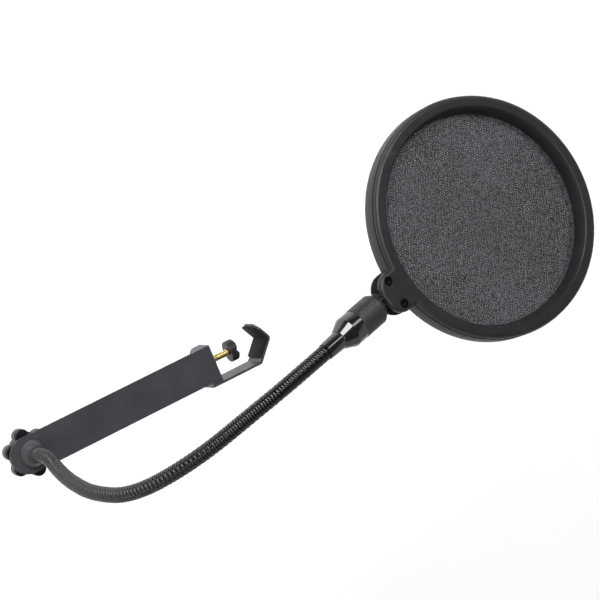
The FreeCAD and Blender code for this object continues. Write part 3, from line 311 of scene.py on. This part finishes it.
def make_knit(name, colour, turn):
    """Knitted nylon gauze: staggered rows of holes between threads with painted glints and shade, in
    slow waves.
    """
    shade = Shade(name, colour, 0.6, Sheen_Weight=0.06, Sheen_Roughness=0.5, Specular_IOR_Level=0.25)
    flat = shade.node("ShaderNodeMapping")
    flat.inputs["Rotation"].default_value = HEAD.to_3x3().inverted().to_euler()
    shade.link(shade.place, flat.inputs["Vector"])
    wander = shade.node("ShaderNodeTexNoise")
    wander.inputs["Scale"].default_value = KNIT_WAVES
    wander.inputs["Detail"].default_value = 3.0
    shade.link(flat.outputs[0], wander.inputs["Vector"])
    pull = shade.node("ShaderNodeVectorMath", operation="MULTIPLY_ADD")
    pull.inputs[1].default_value = (KNIT_PULL, KNIT_PULL, 0)
    shade.link(wander.outputs["Color"], pull.inputs[0])
    shade.link(flat.outputs[0], pull.inputs[2])
    grid = shade.node("ShaderNodeMapping")
    grid.inputs["Scale"].default_value = (1 / KNIT_WIDE, 1 / KNIT_HIGH, 0)
    grid.inputs["Rotation"].default_value = (0, 0, math.radians(turn))
    shade.link(pull.outputs[0], grid.inputs["Vector"])
    split = shade.node("ShaderNodeSeparateXYZ")
    shade.link(grid.outputs[0], split.inputs[0])
    across, along = split.outputs[0], split.outputs[1]
    row = shade.math("FLOOR", along, 0)
    shift = shade.math("MULTIPLY", shade.math("MODULO", row, 2), 0.5)
    u = shade.math("SUBTRACT", shade.math("FRACT", shade.math("ADD", across, shift), 0), 0.5)
    v = shade.math("SUBTRACT", shade.math("FRACT", along, 0), 0.5)
    u_squared = shade.math("MULTIPLY", u, u)
    v_squared = shade.math("MULTIPLY", v, v)
    reach = shade.math("SQRT", shade.math("ADD", u_squared, v_squared), 0)
    uneven = shade.spread(shade.noise(0.9, 2), -0.05, 0.05)
    solid = shade.math("GREATER_THAN", shade.math("ADD", reach, uneven), KNIT_HOLE)
    shade.link(solid, shade.shader.inputs["Alpha"])
    # Painted glints and shade: the crinkles are lit and shaded in the colour, with slow random changes
    # of tone added.
    crinkle_glints = shade.spread(shade.noise(CRINKLE_GLINTS_PER_MM, 5, flat.outputs[0]), -0.02, 0.88, 0.38, 0.68)
    cloud = shade.spread(shade.noise(CLOUDS, 3, flat.outputs[0]), -0.08, 0.08, 0.4, 0.6)
    # Painted highlight: the threads are lighter away from the edges of the holes.
    thread = shade.spread(reach, 0, 0.25, KNIT_HOLE, 0.62)
    painted_glints_and_tone = shade.math("ADD", shade.math("ADD", crinkle_glints, cloud), thread)
    shade.tint(painted_glints_and_tone, lighter(colour, KNIT_BRIGHTEST_GLINT), lighter(colour, KNIT_DARKEST_SHADE))
    shade.bump((reach, 0.15), (shade.noise(0.7, 3, flat.outputs[0]), 0.35))
    return shade.material


PAINT = make_painted("black_steel_paint", (0.032, 0.031, 0.037), 0.45)
GLOSS = make_gloss("black_gloss_metal", (0.006, 0.006, 0.0065), 0.1)
COIL = make_gloss("black_coil", (0.002, 0.002, 0.0024), 0.11, 0.003, 1.48)
COLLAR = make_painted("collar_satin", (0.019, 0.019, 0.020), 0.34)
BASE = make_painted("base_satin", (0.033, 0.032, 0.037), 0.38)
BRASS = make_metal("brass", (0.76, 0.66, 0.34), 0.27, (0.4, 0.4, 5))
ZINC = make_metal("zinc_steel", (0.58, 0.58, 0.57), 0.32, (0.5, 0.5, 4))
OXIDE = make_gloss("black_hardware", (0.002, 0.002, 0.0022), 0.22, ior=1.42)
PLASTIC = make_moulded("black_plastic", (0.011, 0.011, 0.0118), 0.42)
KNOB = make_moulded("knob_plastic", (0.0045, 0.0045, 0.005), 0.36)
ACETAL = make_moulded("liner_plastic", (0.03, 0.03, 0.03), 0.3, 0.01)
RUBBER = make_rubber("black_rubber", (0.007, 0.007, 0.0075))
FIBRE = make_fibre("fibre", (0.045, 0.038, 0.032))
KNIT_FRONT = make_knit("nylon_mesh_front", (0.030, 0.029, 0.034), 17)
KNIT_REAR = make_knit("nylon_mesh_rear", (0.030, 0.029, 0.034), 43)

# ---------------------------------------------------------------- mesh tools


def finish_piece(name, mesh, material, body=None, nodes=(), place=None):
    """Links a mesh made in millimetres as a piece that rides on a body and stands for CAD nodes."""
    if place is not None:
        mesh.transform(place)
    mesh.transform(Matrix.Scale(MM, 4))
    mesh.materials.append(material)
    for polygon in mesh.polygons:
        polygon.use_smooth = True
    piece = bpy.data.objects.new(name, mesh)
    bpy.context.scene.collection.objects.link(piece)
    if body:
        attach(piece, body)
    if nodes:
        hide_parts(*nodes)
    return piece


def grid_faces(rows, columns):
    """Quads of a grid of points in rows; every row closes on itself."""
    faces = []
    for row in range(rows - 1):
        after = row + 1
        for column in range(columns):
            beside = (column + 1) % columns
            faces.append((row * columns + column, row * columns + beside,
                          after * columns + beside, after * columns + column))
    return faces


def mesh_from(name, points, faces, sharp_angle=32):
    mesh = bpy.data.meshes.new(name)
    mesh.from_pydata([tuple(point) for point in points], [], faces)
    mesh.update()
    shape = bmesh.new()
    shape.from_mesh(mesh)
    bmesh.ops.recalc_face_normals(shape, faces=shape.faces)
    shape.to_mesh(mesh)
    shape.free()
    mesh.set_sharp_from_angle(angle=math.radians(sharp_angle))
    return mesh


ROUND_STEPS = 3  # points along a rounded corner, after its first


def rounded(profile, radius):
    """A closed profile of points with its corners rounded."""
    made = []
    count = len(profile)
    for number, corner in enumerate(profile):
        here = Vector(corner)
        before = Vector(profile[number - 1]) - here
        after = Vector(profile[(number + 1) % count]) - here
        cut = min(radius, before.length * 0.45, after.length * 0.45)
        first = here + before.normalized() * cut
        last = here + after.normalized() * cut
        for step in range(ROUND_STEPS + 1):
            share = step / ROUND_STEPS
            near, middle, far = (1 - share) ** 2, 2 * share * (1 - share), share ** 2
            made.append(tuple(first * near + here * middle + last * far))
    return made


def lathe(name, profile, material, body, nodes, place, radius, sides=96):
    """A turned piece from a profile of (radius, height) points about the Z axis of its place."""
    line = rounded(profile, radius)
    points = []
    for around in range(sides):
        angle = 2 * math.pi * around / sides
        points += [(r * math.cos(angle), r * math.sin(angle), h) for r, h in line]
    faces = []
    count = len(line)
    for around in range(sides):
        after = (around + 1) % sides
        for step in range(count):
            beyond = (step + 1) % count
            faces.append((around * count + step, after * count + step,
                          after * count + beyond, around * count + beyond))
    mesh = mesh_from(name, points, faces)
    finish_piece(name, mesh, material, body, nodes, place)


def thread_depth(turns):
    """Height of a V thread, 0 to 1, at a number of turns along it."""
    share = turns % 1
    return 1 - abs(2 * share - 1)


THREAD_STEPS = 8  # rows of points for each turn of a thread
ROD_SIDES = 40


def threaded_rod(name, stations, thread, pitch, depth, material, body, nodes, place):
    """A rod through (height, radius) stations, threaded between two heights."""
    rows = []
    thread_low, thread_high = thread
    for (low, low_rad), (high, high_rad) in zip(stations, stations[1:]):
        threaded = low >= thread_low and high <= thread_high and low_rad == high_rad
        count = max(1, round((high - low) / pitch * THREAD_STEPS)) if threaded else 1
        for step in range(count + 1):
            share = step / count
            rows.append((low + (high - low) * share, low_rad + (high_rad - low_rad) * share, threaded))
    points = []
    for height, radius, threaded in rows:
        for around in range(ROD_SIDES):
            turn = around / ROD_SIDES
            cut = depth * (1 - thread_depth(height / pitch - turn)) if threaded else 0
            angle = 2 * math.pi * turn
            points.append(((radius - cut) * math.cos(angle), (radius - cut) * math.sin(angle), height))
    faces = grid_faces(len(rows), ROD_SIDES)
    faces.append(tuple(range(ROD_SIDES)))
    faces.append(tuple(range(len(points) - ROD_SIDES, len(points))))
    mesh = mesh_from(name, points, faces, 50)
    finish_piece(name, mesh, material, body, nodes, place)


WELD_GAP = 0.002
EDGE_STEPS = 2
EDGE_ANGLE = math.radians(35)


def dress(node, material, bevel):
    """Gives a kept CAD node its material and, where a bevel is given, softly broken edges with hardened
    normals.
    """
    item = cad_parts[node]
    item.data.materials.clear()
    item.data.materials.append(material)
    for polygon in item.data.polygons:
        polygon.material_index = 0
    if bevel:
        weld = item.modifiers.new("weld", "WELD")
        weld.merge_threshold = WELD_GAP * MM
        edges = item.modifiers.new("edges", "BEVEL")
        edges.width = bevel * MM
        edges.segments = EDGE_STEPS
        edges.limit_method = "ANGLE"
        edges.angle_limit = EDGE_ANGLE
        edges.harden_normals = True


# ---------------------------------------------------------------- gooseneck


ROUTE_ORDER = 3
ROUTE_STEPS = 48  # points for each run of the spline


def route_line():
    """Closely spaced points along the gooseneck's NURBS spline, in millimetres."""
    curve = bpy.data.curves.new("route", "CURVE")
    curve.dimensions = "3D"
    curve.resolution_u = ROUTE_STEPS
    spline = curve.splines.new("NURBS")
    spline.points.add(len(ROUTE) - 1)
    for control, point in zip(spline.points, ROUTE):
        control.co = (*point, 1)
    spline.order_u = ROUTE_ORDER
    spline.use_endpoint_u = True
    holder = bpy.data.objects.new("route", curve)
    mesh = bpy.data.meshes.new_from_object(holder)
    line = [vertex.co.copy() for vertex in mesh.vertices]
    bpy.data.objects.remove(holder)
    bpy.data.curves.remove(curve)
    bpy.data.meshes.remove(mesh)
    return line


class Centreline:
    """A line of points with a steady sideways direction at every distance along it."""

    def __init__(self, line):
        self.line = line
        self.along = [0.0]
        for before, after in zip(line, line[1:]):
            self.along.append(self.along[-1] + (after - before).length)
        self.length = self.along[-1]
        self.tangents = []
        for number in range(len(line)):
            before = line[max(number - 1, 0)]
            after = line[min(number + 1, len(line) - 1)]
            self.tangents.append((after - before).normalized())
        side = Vector((1, 0, 0))
        self.sides = []
        for tangent in self.tangents:
            side = (side - tangent * side.dot(tangent)).normalized()
            self.sides.append(side)

    def at(self, distance):
        """Point, side and other side at a distance."""
        distance = min(max(distance, 0.0), self.length)
        low, high = 0, len(self.along) - 1
        while high - low > 1:
            middle = (low + high) // 2
            if self.along[middle] <= distance:
                low = middle
            else:
                high = middle
        span = self.along[high] - self.along[low]
        share = (distance - self.along[low]) / span if span else 0.0
        point = self.line[low].lerp(self.line[high], share)
        tangent = self.tangents[low].lerp(self.tangents[high], share).normalized()
        side = self.sides[low].lerp(self.sides[high], share)
        side = (side - tangent * side.dot(tangent)).normalized()
        return point, side, tangent.cross(side)

    def nearest(self, target):
        number = min(range(len(self.line)), key=lambda index: (self.line[index] - target).length)
        return self.along[number]


COIL_PITCH = 3.7
ROUND_WIRE = 1.14
WEDGE_SHIFT = 0.5  # the wedge wire lies half a pitch from the round one
WIRE_SIDES = 10
TURN_STEPS = 30
CORE_RAD = 3.5
CORE_SIDES = 16
CORE_STEP = 2
WEDGE_PROFILE = [
    (4.62, -0.72),
    (4.78, -0.40),
    (4.83, 0.0),
    (4.78, 0.40),
    (4.62, 0.72),
    (3.5, 0.16),
    (3.5, -0.16),
]  # a slightly crowned outer face that narrows inwards, as (outward, along) points


def round_profile():
    """(outward, along) points of the round wire's section, from its own centre."""
    centre = COIL_RAD - ROUND_WIRE
    return [(centre + ROUND_WIRE * math.cos(angle), ROUND_WIRE * math.sin(angle))
            for angle in (2 * math.pi * step / WIRE_SIDES for step in range(WIRE_SIDES))]


def coil_piece(name, centreline, start, end):
    """Both wires and the sleeve inside them, between two distances along the gooseneck."""
    points = []
    faces = []
    for profile, shift in ((round_profile(), 0.0), (WEDGE_PROFILE, WEDGE_SHIFT)):
        first = len(points)
        low_turn = start / COIL_PITCH - shift
        high_turn = end / COIL_PITCH - shift
        count = max(2, round((high_turn - low_turn) * TURN_STEPS))
        for step in range(count + 1):
            turn = low_turn + (high_turn - low_turn) * step / count
            angle = 2 * math.pi * turn
            for outward, along in profile:
                point, side, other = centreline.at((turn + shift) * COIL_PITCH + along)
                points.append(point + (side * math.cos(angle) + other * math.sin(angle)) * outward)
        size = len(profile)
        faces += [tuple(first + corner for corner in face) for face in grid_faces(count + 1, size)]
        faces.append(tuple(range(first, first + size)))
        faces.append(tuple(range(len(points) - size, len(points))))
    first = len(points)
    rings = max(2, round((end - start) / CORE_STEP))
    for ring in range(rings + 1):
        point, side, other = centreline.at(start + (end - start) * ring / rings)
        for step in range(CORE_SIDES):
            angle = 2 * math.pi * step / CORE_SIDES
            points.append(point + (side * math.cos(angle) + other * math.sin(angle)) * CORE_RAD)
    faces += [tuple(first + corner for corner in face) for face in grid_faces(rings + 1, CORE_SIDES)]
    return mesh_from(name, points, faces, 60)


def make_gooseneck():
    """The coil in pieces that each bend across one link, with straight-riding ones at both ends."""
    centreline = Centreline(route_line())
    route = [Vector(point) for point in ROUTE]
    links = [(route[run] + route[run + 1]) / 2 for run in range(FIRST_LINK, FIRST_LINK + LINK_COUNT)]
    stops = [0.0] + [centreline.nearest(link) for link in links] + [centreline.length]
    middles = [(low + high) / 2 for low, high in zip(stops, stops[1:])]
    cuts = [0.0] + middles + [centreline.length]
    for number, (start, end) in enumerate(zip(cuts, cuts[1:])):
        name = "coil_%d" % number
        mesh = coil_piece(name, centreline, start, end)
        if number == 0:
            finish_piece(name, mesh, COIL, NECK_BODIES[0], ["neck_segment_1"])
        elif number > LINK_COUNT:
            finish_piece(name, mesh, COIL, NECK_BODIES[-1])
        else:
            nodes = ["neck_segment_%d" % (number + 1)]
            piece = finish_piece(name, mesh, COIL, None, nodes)
            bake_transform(piece)


make_gooseneck()

# ---------------------------------------------------------------- turned fittings


BORE_RAD = 2.4
STUD_CHAMFER = 0.5
STUD_PITCH = 1.25
STUD_DEEP = 0.6


def make_base():
    thread_from = STUD_LOW + STUD_CHAMFER
    lathe("flange_turned", [
        (STUD_RAD, FLANGE_LOW), (FLANGE_RAD, FLANGE_LOW), (FLANGE_RAD, FLANGE_LOW + FLANGE_RIM),
        (COLLAR_RAD + 0.3, FLANGE_TOP), (STUD_RAD, FLANGE_TOP),
    ], BASE, "neck_base", ["base_flange"], AT_STUD, 0.3)
    lathe("collar_turned", [
        (STUD_RAD, FLANGE_TOP), (COLLAR_RAD, FLANGE_TOP),
        (COLLAR_RAD, COLLAR_TOP), (STUD_RAD, COLLAR_TOP),
    ], BASE, "neck_base", ["base_collar"], AT_STUD, 0.7)
    lathe("ferrule_turned", [
        (BORE_RAD, COLLAR_TOP), (FERRULE_RAD, COLLAR_TOP),
        (FERRULE_RAD, FERRULE_TOP), (BORE_RAD, FERRULE_TOP),
    ], BASE, "neck_base", ["base_ferrule"], AT_STUD, 0.35)
    threaded_rod("stud_threaded", [
        (STUD_LOW, STUD_RAD - STUD_DEEP), (thread_from, STUD_RAD),
        (FLANGE_LOW, STUD_RAD), (COLLAR_TOP, STUD_RAD),
    ], (thread_from, FLANGE_LOW), STUD_PITCH, STUD_DEEP, ZINC, "neck_base",
        ["base_stud"], AT_STUD)


RIB_COUNT = 12
RIB_DEEP = 0.4
RING_BORE = 4.2


def collar_profile():
    """The ribbed collar's outline, with its grooves cut round the cylinder."""
    profile = [(RING_BORE, RING_LOW), (RING_RAD - 0.5, RING_LOW), (RING_RAD, RING_LOW + 0.5)]
    rib = (RING_TOP - RING_LOW - 1.0) / RIB_COUNT
    for number in range(RIB_COUNT):
        low = RING_LOW + 0.7 + rib * number
        profile += [(RING_RAD, low), (RING_RAD - RIB_DEEP, low + rib * 0.22),
                    (RING_RAD - RIB_DEEP, low + rib * 0.38), (RING_RAD, low + rib * 0.6)]
    dome = DOME_TOP - RING_TOP
    profile += [(RING_RAD, RING_TOP), (RING_RAD - 0.9, RING_TOP + dome * 0.35),
                (RING_RAD - 2.3, RING_TOP + dome * 0.7), (5.5, DOME_TOP), (STEM_RAD + 0.1, DOME_TOP),
                (STEM_RAD + 0.1, DOME_TOP - 1.9), (RING_BORE, DOME_TOP - 2.2)]
    return profile


CONNECTOR_SIDES = 128
TOP_FERRULE_LOW_RAD = 5.3
TOP_FERRULE_HIGH_RAD = 5.9
BARREL_BORE = 4.1
BARREL_FOOT = 6.2


def make_connector():
    lathe("top_ferrule_turned", [
        (BORE_RAD, 0.0), (TOP_FERRULE_LOW_RAD, 0.0),
        (TOP_FERRULE_HIGH_RAD, FERRULE_END), (BORE_RAD, FERRULE_END),
    ], GLOSS, "neck_link_7", ["top_ferrule"], CONNECTOR, 0.3,
        CONNECTOR_SIDES)
    lathe("barrel_turned", [
        (BARREL_BORE, FERRULE_END), (BARREL_FOOT, FERRULE_END), (BARREL_RAD, BARREL_LOW),
        (BARREL_RAD, BARREL_TOP), (BARREL_BORE, BARREL_TOP),
    ], GLOSS, "neck_link_7", ["end_barrel"], CONNECTOR, 0.35,
        CONNECTOR_SIDES)
    lathe("collar_ribbed", collar_profile(), COLLAR, "ball_stud",
          ["ribbed_collar"], CONNECTOR, 0.12, CONNECTOR_SIDES)


make_base()
make_connector()

# ---------------------------------------------------------------- clamp screw and hook lining


RUN_OUT = 0.3  # length over which the clamp screw's thread ends
SHANK_RAD = SCREW_RAD - 0.2
TIP_RAD = SCREW_RAD - 0.1
SCREW_DEEP = 0.4


def make_clamp():
    threaded_rod("screw_threaded", [
        (SCREW_FROM, SHANK_RAD), (THREAD_FROM, SHANK_RAD), (THREAD_FROM + RUN_OUT, SCREW_RAD),
        (THREAD_TO, SCREW_RAD), (THREAD_TO + RUN_OUT, SHANK_RAD), (GROOVE_FROM, SHANK_RAD),
        (GROOVE_FROM, GROOVE_RAD), (GROOVE_TO, GROOVE_RAD), (GROOVE_TO, TIP_RAD),
        (SCREW_TO, TIP_RAD),
    ], (THREAD_FROM + RUN_OUT, THREAD_TO), SCREW_PITCH, SCREW_DEEP, BRASS, "clamp_screw",
        ["clamp_screw"], ALONG_X)


def limb_foot(normal, offset):
    """The point of a limb's line that is nearest to the origin."""
    return Vector((math.cos(normal), math.sin(normal))) * offset


def limb_corner(offset):
    """Where the two limbs meet at one offset from the origin."""
    half = (HIGH_NORMAL - LOW_NORMAL) / 2
    middle = (HIGH_NORMAL + LOW_NORMAL) / 2
    return Vector((math.cos(middle), math.sin(middle))) * (offset / math.cos(half))


LINER_STEPS = 26  # rows of points along each limb
LINER_RIBS = 7
LINER_RIB_HIGH = 0.18
LINER_ROUND = 0.35


def make_lining():
    """Rubber lining of the hook: a bent strip with shallow ribs across it and soft edges."""
    low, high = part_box("hook_liner")
    low_y = low.y / MM
    tip_y = high.y / MM
    low_dir = Vector((-math.sin(LOW_NORMAL), math.cos(LOW_NORMAL)))
    high_dir = Vector((-math.sin(HIGH_NORMAL), math.cos(HIGH_NORMAL)))
    back = TUBE_RAD + LINER_THK
    reach = (tip_y - limb_foot(HIGH_NORMAL, back).y) / high_dir.y
    limbs = []
    for offset in (TUBE_RAD, back):
        corner = limb_corner(offset)
        start = corner - low_dir * ((corner.y - low_y) / low_dir.y)
        limbs.append((start, corner, limb_foot(HIGH_NORMAL, offset) + high_dir * reach))
    rows = []
    for step in range(2 * LINER_STEPS + 1):
        share = step / LINER_STEPS
        run, local = (0, share) if share <= 1 else (1, share - 1)
        inner, outer = [limb[run].lerp(limb[run + 1], local) for limb in limbs]
        rib = LINER_RIB_HIGH * max(0.0, math.cos(2 * math.pi * share * LINER_RIBS))
        lip = min(1.0, min(share, 2 - share) * LINER_STEPS / 1.5)
        depth = (outer - inner) * (1 - lip) * 0.25 + (outer - inner).normalized() * rib * lip
        rows.append((inner + depth, outer))
    points = []
    for inner, outer in rows:
        section = [(LINER_LOW, 0.0), (LINER_HIGH, 0.0), (LINER_HIGH, 1.0), (LINER_LOW, 1.0)]
        for height, share in rounded(section, LINER_ROUND):
            spot = inner.lerp(outer, share)
            points.append((spot.x, spot.y, height))
    columns = len(points) // len(rows)
    faces = grid_faces(len(rows), columns)
    faces.append(tuple(range(columns)))
    faces.append(tuple(range(len(points) - columns, len(points))))
    mesh = mesh_from("lining", points, faces, 40)
    finish_piece("lining", mesh, RUBBER, "arm", ["hook_liner"])


make_clamp()
make_lining()

# ---------------------------------------------------------------- screens


SCREEN_RINGS = 30
SCREEN_SIDES = 128
SLACK = 0.12
SLACK_TO = 66.0  # radius at which the sheet lies flat


def make_screen(name, level, material, node):
    """One layer of gauze: a round sheet with a slight slackness, held by its rim."""
    points = [(0.0, 0.0, level)]
    for ring in range(1, SCREEN_RINGS + 1):
        radius = MESH_RAD * ring / SCREEN_RINGS
        slack = SLACK * math.cos(math.pi * min(radius / SLACK_TO, 1.0) / 2)
        for around in range(SCREEN_SIDES):
            angle = 2 * math.pi * around / SCREEN_SIDES
            ripple = slack * math.sin(3 * angle + radius * 0.07) * math.cos(radius * 0.11)
            points.append((radius * math.cos(angle), radius * math.sin(angle), level + ripple))
    faces = [(0, 1 + around, 1 + (around + 1) % SCREEN_SIDES) for around in range(SCREEN_SIDES)]
    faces += [tuple(1 + corner for corner in face) for face in grid_faces(SCREEN_RINGS, SCREEN_SIDES)]
    mesh = mesh_from(name, points, faces)
    piece = finish_piece(name, mesh, material, "head", [node], HEAD)


make_screen("screen_front", MESH_LEVELS["front"], KNIT_FRONT, "mesh_front")
make_screen("screen_rear", MESH_LEVELS["rear"], KNIT_REAR, "mesh_rear")

# ---------------------------------------------------------------- kept CAD nodes

KEPT = [
    ("arm_plate", PAINT, 0.18),
    ("screw_bush", BRASS, 0.15),
    ("pressure_pad", PLASTIC, 0.3),
    ("pad_clip", ZINC, 0.1),
    ("clamp_knob", KNOB, 0.2),
    ("star_knob", KNOB, 0.3),
    ("knob_insert", BRASS, 0.2),
    ("knob_washer", ZINC, 0.15),
    ("friction_disc", FIBRE, 0.1),
    ("ball_stud", GLOSS, 0.1),
    ("socket_liner_front", ACETAL, 0.0),
    ("socket_liner_rear", ACETAL, 0.0),
    ("front_hoop", PLASTIC, 0.2),
    ("rear_hoop", PLASTIC, 0.2),
    ("mesh_spacer", PLASTIC, 0.1),
    ("lug_screws", OXIDE, 0.1),
    ("lug_nuts", OXIDE, 0.1),
]
for node_name, node_material, node_bevel in KEPT:
    dress(node_name, node_material, node_bevel)

# ---------------------------------------------------------------- stage, light and camera

FLOOR_LEVEL = -450.0
FLOOR_SPAN = 9.0  # half the floor's side, in metres
FLOOR_CELLS = 8
FLOOR_WHITE = (0.94, 0.94, 0.94)


def make_floor():
    shape = bmesh.new()
    bmesh.ops.create_grid(shape, x_segments=FLOOR_CELLS, y_segments=FLOOR_CELLS, size=FLOOR_SPAN)
    mesh = bpy.data.meshes.new("floor")
    shape.to_mesh(mesh)
    shape.free()
    floor = bpy.data.objects.new("floor", mesh)
    floor.location = (0, 0, FLOOR_LEVEL * MM)
    bpy.context.scene.collection.objects.link(floor)
    shade = Shade("floor_paper", FLOOR_WHITE, 0.9)
    shade.tint(shade.spread(shade.noise(0.002, 2), 0, 1), (0.95, 0.95, 0.95), (0.93, 0.93, 0.93))
    mesh.materials.append(shade.material)


WORLD_STRENGTH = 0.6
WALL_TO = 0.54  # height at which the bright wall starts to darken
CEILING_FROM = 0.68  # height from which the ceiling is dark
CEILING_GREY = 0.06
LEAN = 0.6  # how much lower the ceiling comes on the +Y side


def make_world():
    """Bright studio walls, with a dark ceiling that comes lower on the +Y side."""
    world = bpy.data.worlds.new("studio")
    world.use_nodes = True
    tree = world.node_tree
    coords = tree.nodes.new("ShaderNodeTexCoord")
    split = tree.nodes.new("ShaderNodeSeparateXYZ")
    side = tree.nodes.new("ShaderNodeMath")
    side.operation = "MAXIMUM"
    side.inputs[1].default_value = 0.0
    height = tree.nodes.new("ShaderNodeMath")
    height.operation = "MULTIPLY_ADD"
    height.inputs[1].default_value = LEAN
    ramp = tree.nodes.new("ShaderNodeValToRGB")
    tree.links.new(coords.outputs["Generated"], split.inputs[0])
    tree.links.new(split.outputs[1], side.inputs[0])
    tree.links.new(side.outputs[0], height.inputs[0])
    tree.links.new(split.outputs[2], height.inputs[2])
    tree.links.new(height.outputs[0], ramp.inputs["Fac"])
    ramp.color_ramp.elements[0].position = WALL_TO
    ramp.color_ramp.elements[0].color = (1, 1, 1, 1)
    ramp.color_ramp.elements[1].position = CEILING_FROM
    ramp.color_ramp.elements[1].color = (CEILING_GREY, CEILING_GREY, CEILING_GREY, 1)
    background = tree.nodes["Background"]
    background.inputs["Strength"].default_value = WORLD_STRENGTH
    tree.links.new(ramp.outputs["Color"], background.inputs["Color"])
    bpy.context.scene.world = world


LIGHT_TARGET = Vector((0, 20, 200))


def make_light(name, direction, distance, wide, high, power, along=UP):
    """A rectangular soft light at a distance in metres from the target, its height along a direction."""
    data = bpy.data.lights.new(name, "AREA")
    data.shape = "RECTANGLE"
    data.size = wide
    data.size_y = high
    data.energy = power
    light = bpy.data.objects.new(name, data)
    back = Vector(direction).normalized()
    spot = LIGHT_TARGET * MM + back * distance
    up = Vector(along)
    up = (up - back * up.dot(back)).normalized()
    rotation = Matrix((up.cross(back), up, back)).transposed().to_4x4()
    rotation.translation = spot
    light.matrix_world = rotation
    bpy.context.scene.collection.objects.link(light)


CAMERA_AT = Vector((-547.8, 285.0, 1493.1))
CAMERA_RIGHT = Vector((0.8330, -0.3781, 0.4040))
CAMERA_UP = Vector((0.4138, 0.9103, -0.0012))
CAMERA_BACK = Vector((-0.3673, 0.1682, 0.9148))


def make_camera():
    data = bpy.data.cameras.new("camera")
    data.lens = 134.9
    data.sensor_width = 36
    data.clip_start = 0.05
    data.clip_end = 50
    camera = bpy.data.objects.new("camera", data)
    place = Matrix((CAMERA_RIGHT, CAMERA_UP, CAMERA_BACK)).transposed().to_4x4()
    place.translation = CAMERA_AT * MM
    camera.matrix_world = place
    bpy.context.scene.collection.objects.link(camera)
    bpy.context.scene.camera = camera


make_floor()
make_world()
make_light("soft_box", (-0.24, 0.68, 0.71), distance=4.4, wide=3.0, high=2.6, power=260, along=STEM_AXIS)
make_light("key_strip", (0.61, 0.53, 0.61), distance=3.8, wide=0.9, high=3.2, power=36, along=STEM_AXIS)
make_light("side_panel", (-0.54, -0.06, 0.84), distance=4.8, wide=1.6, high=2.2, power=70)
make_camera()
bpy.context.scene.view_settings.view_transform = "Standard"
bpy.context.scene.view_settings.look = "None"
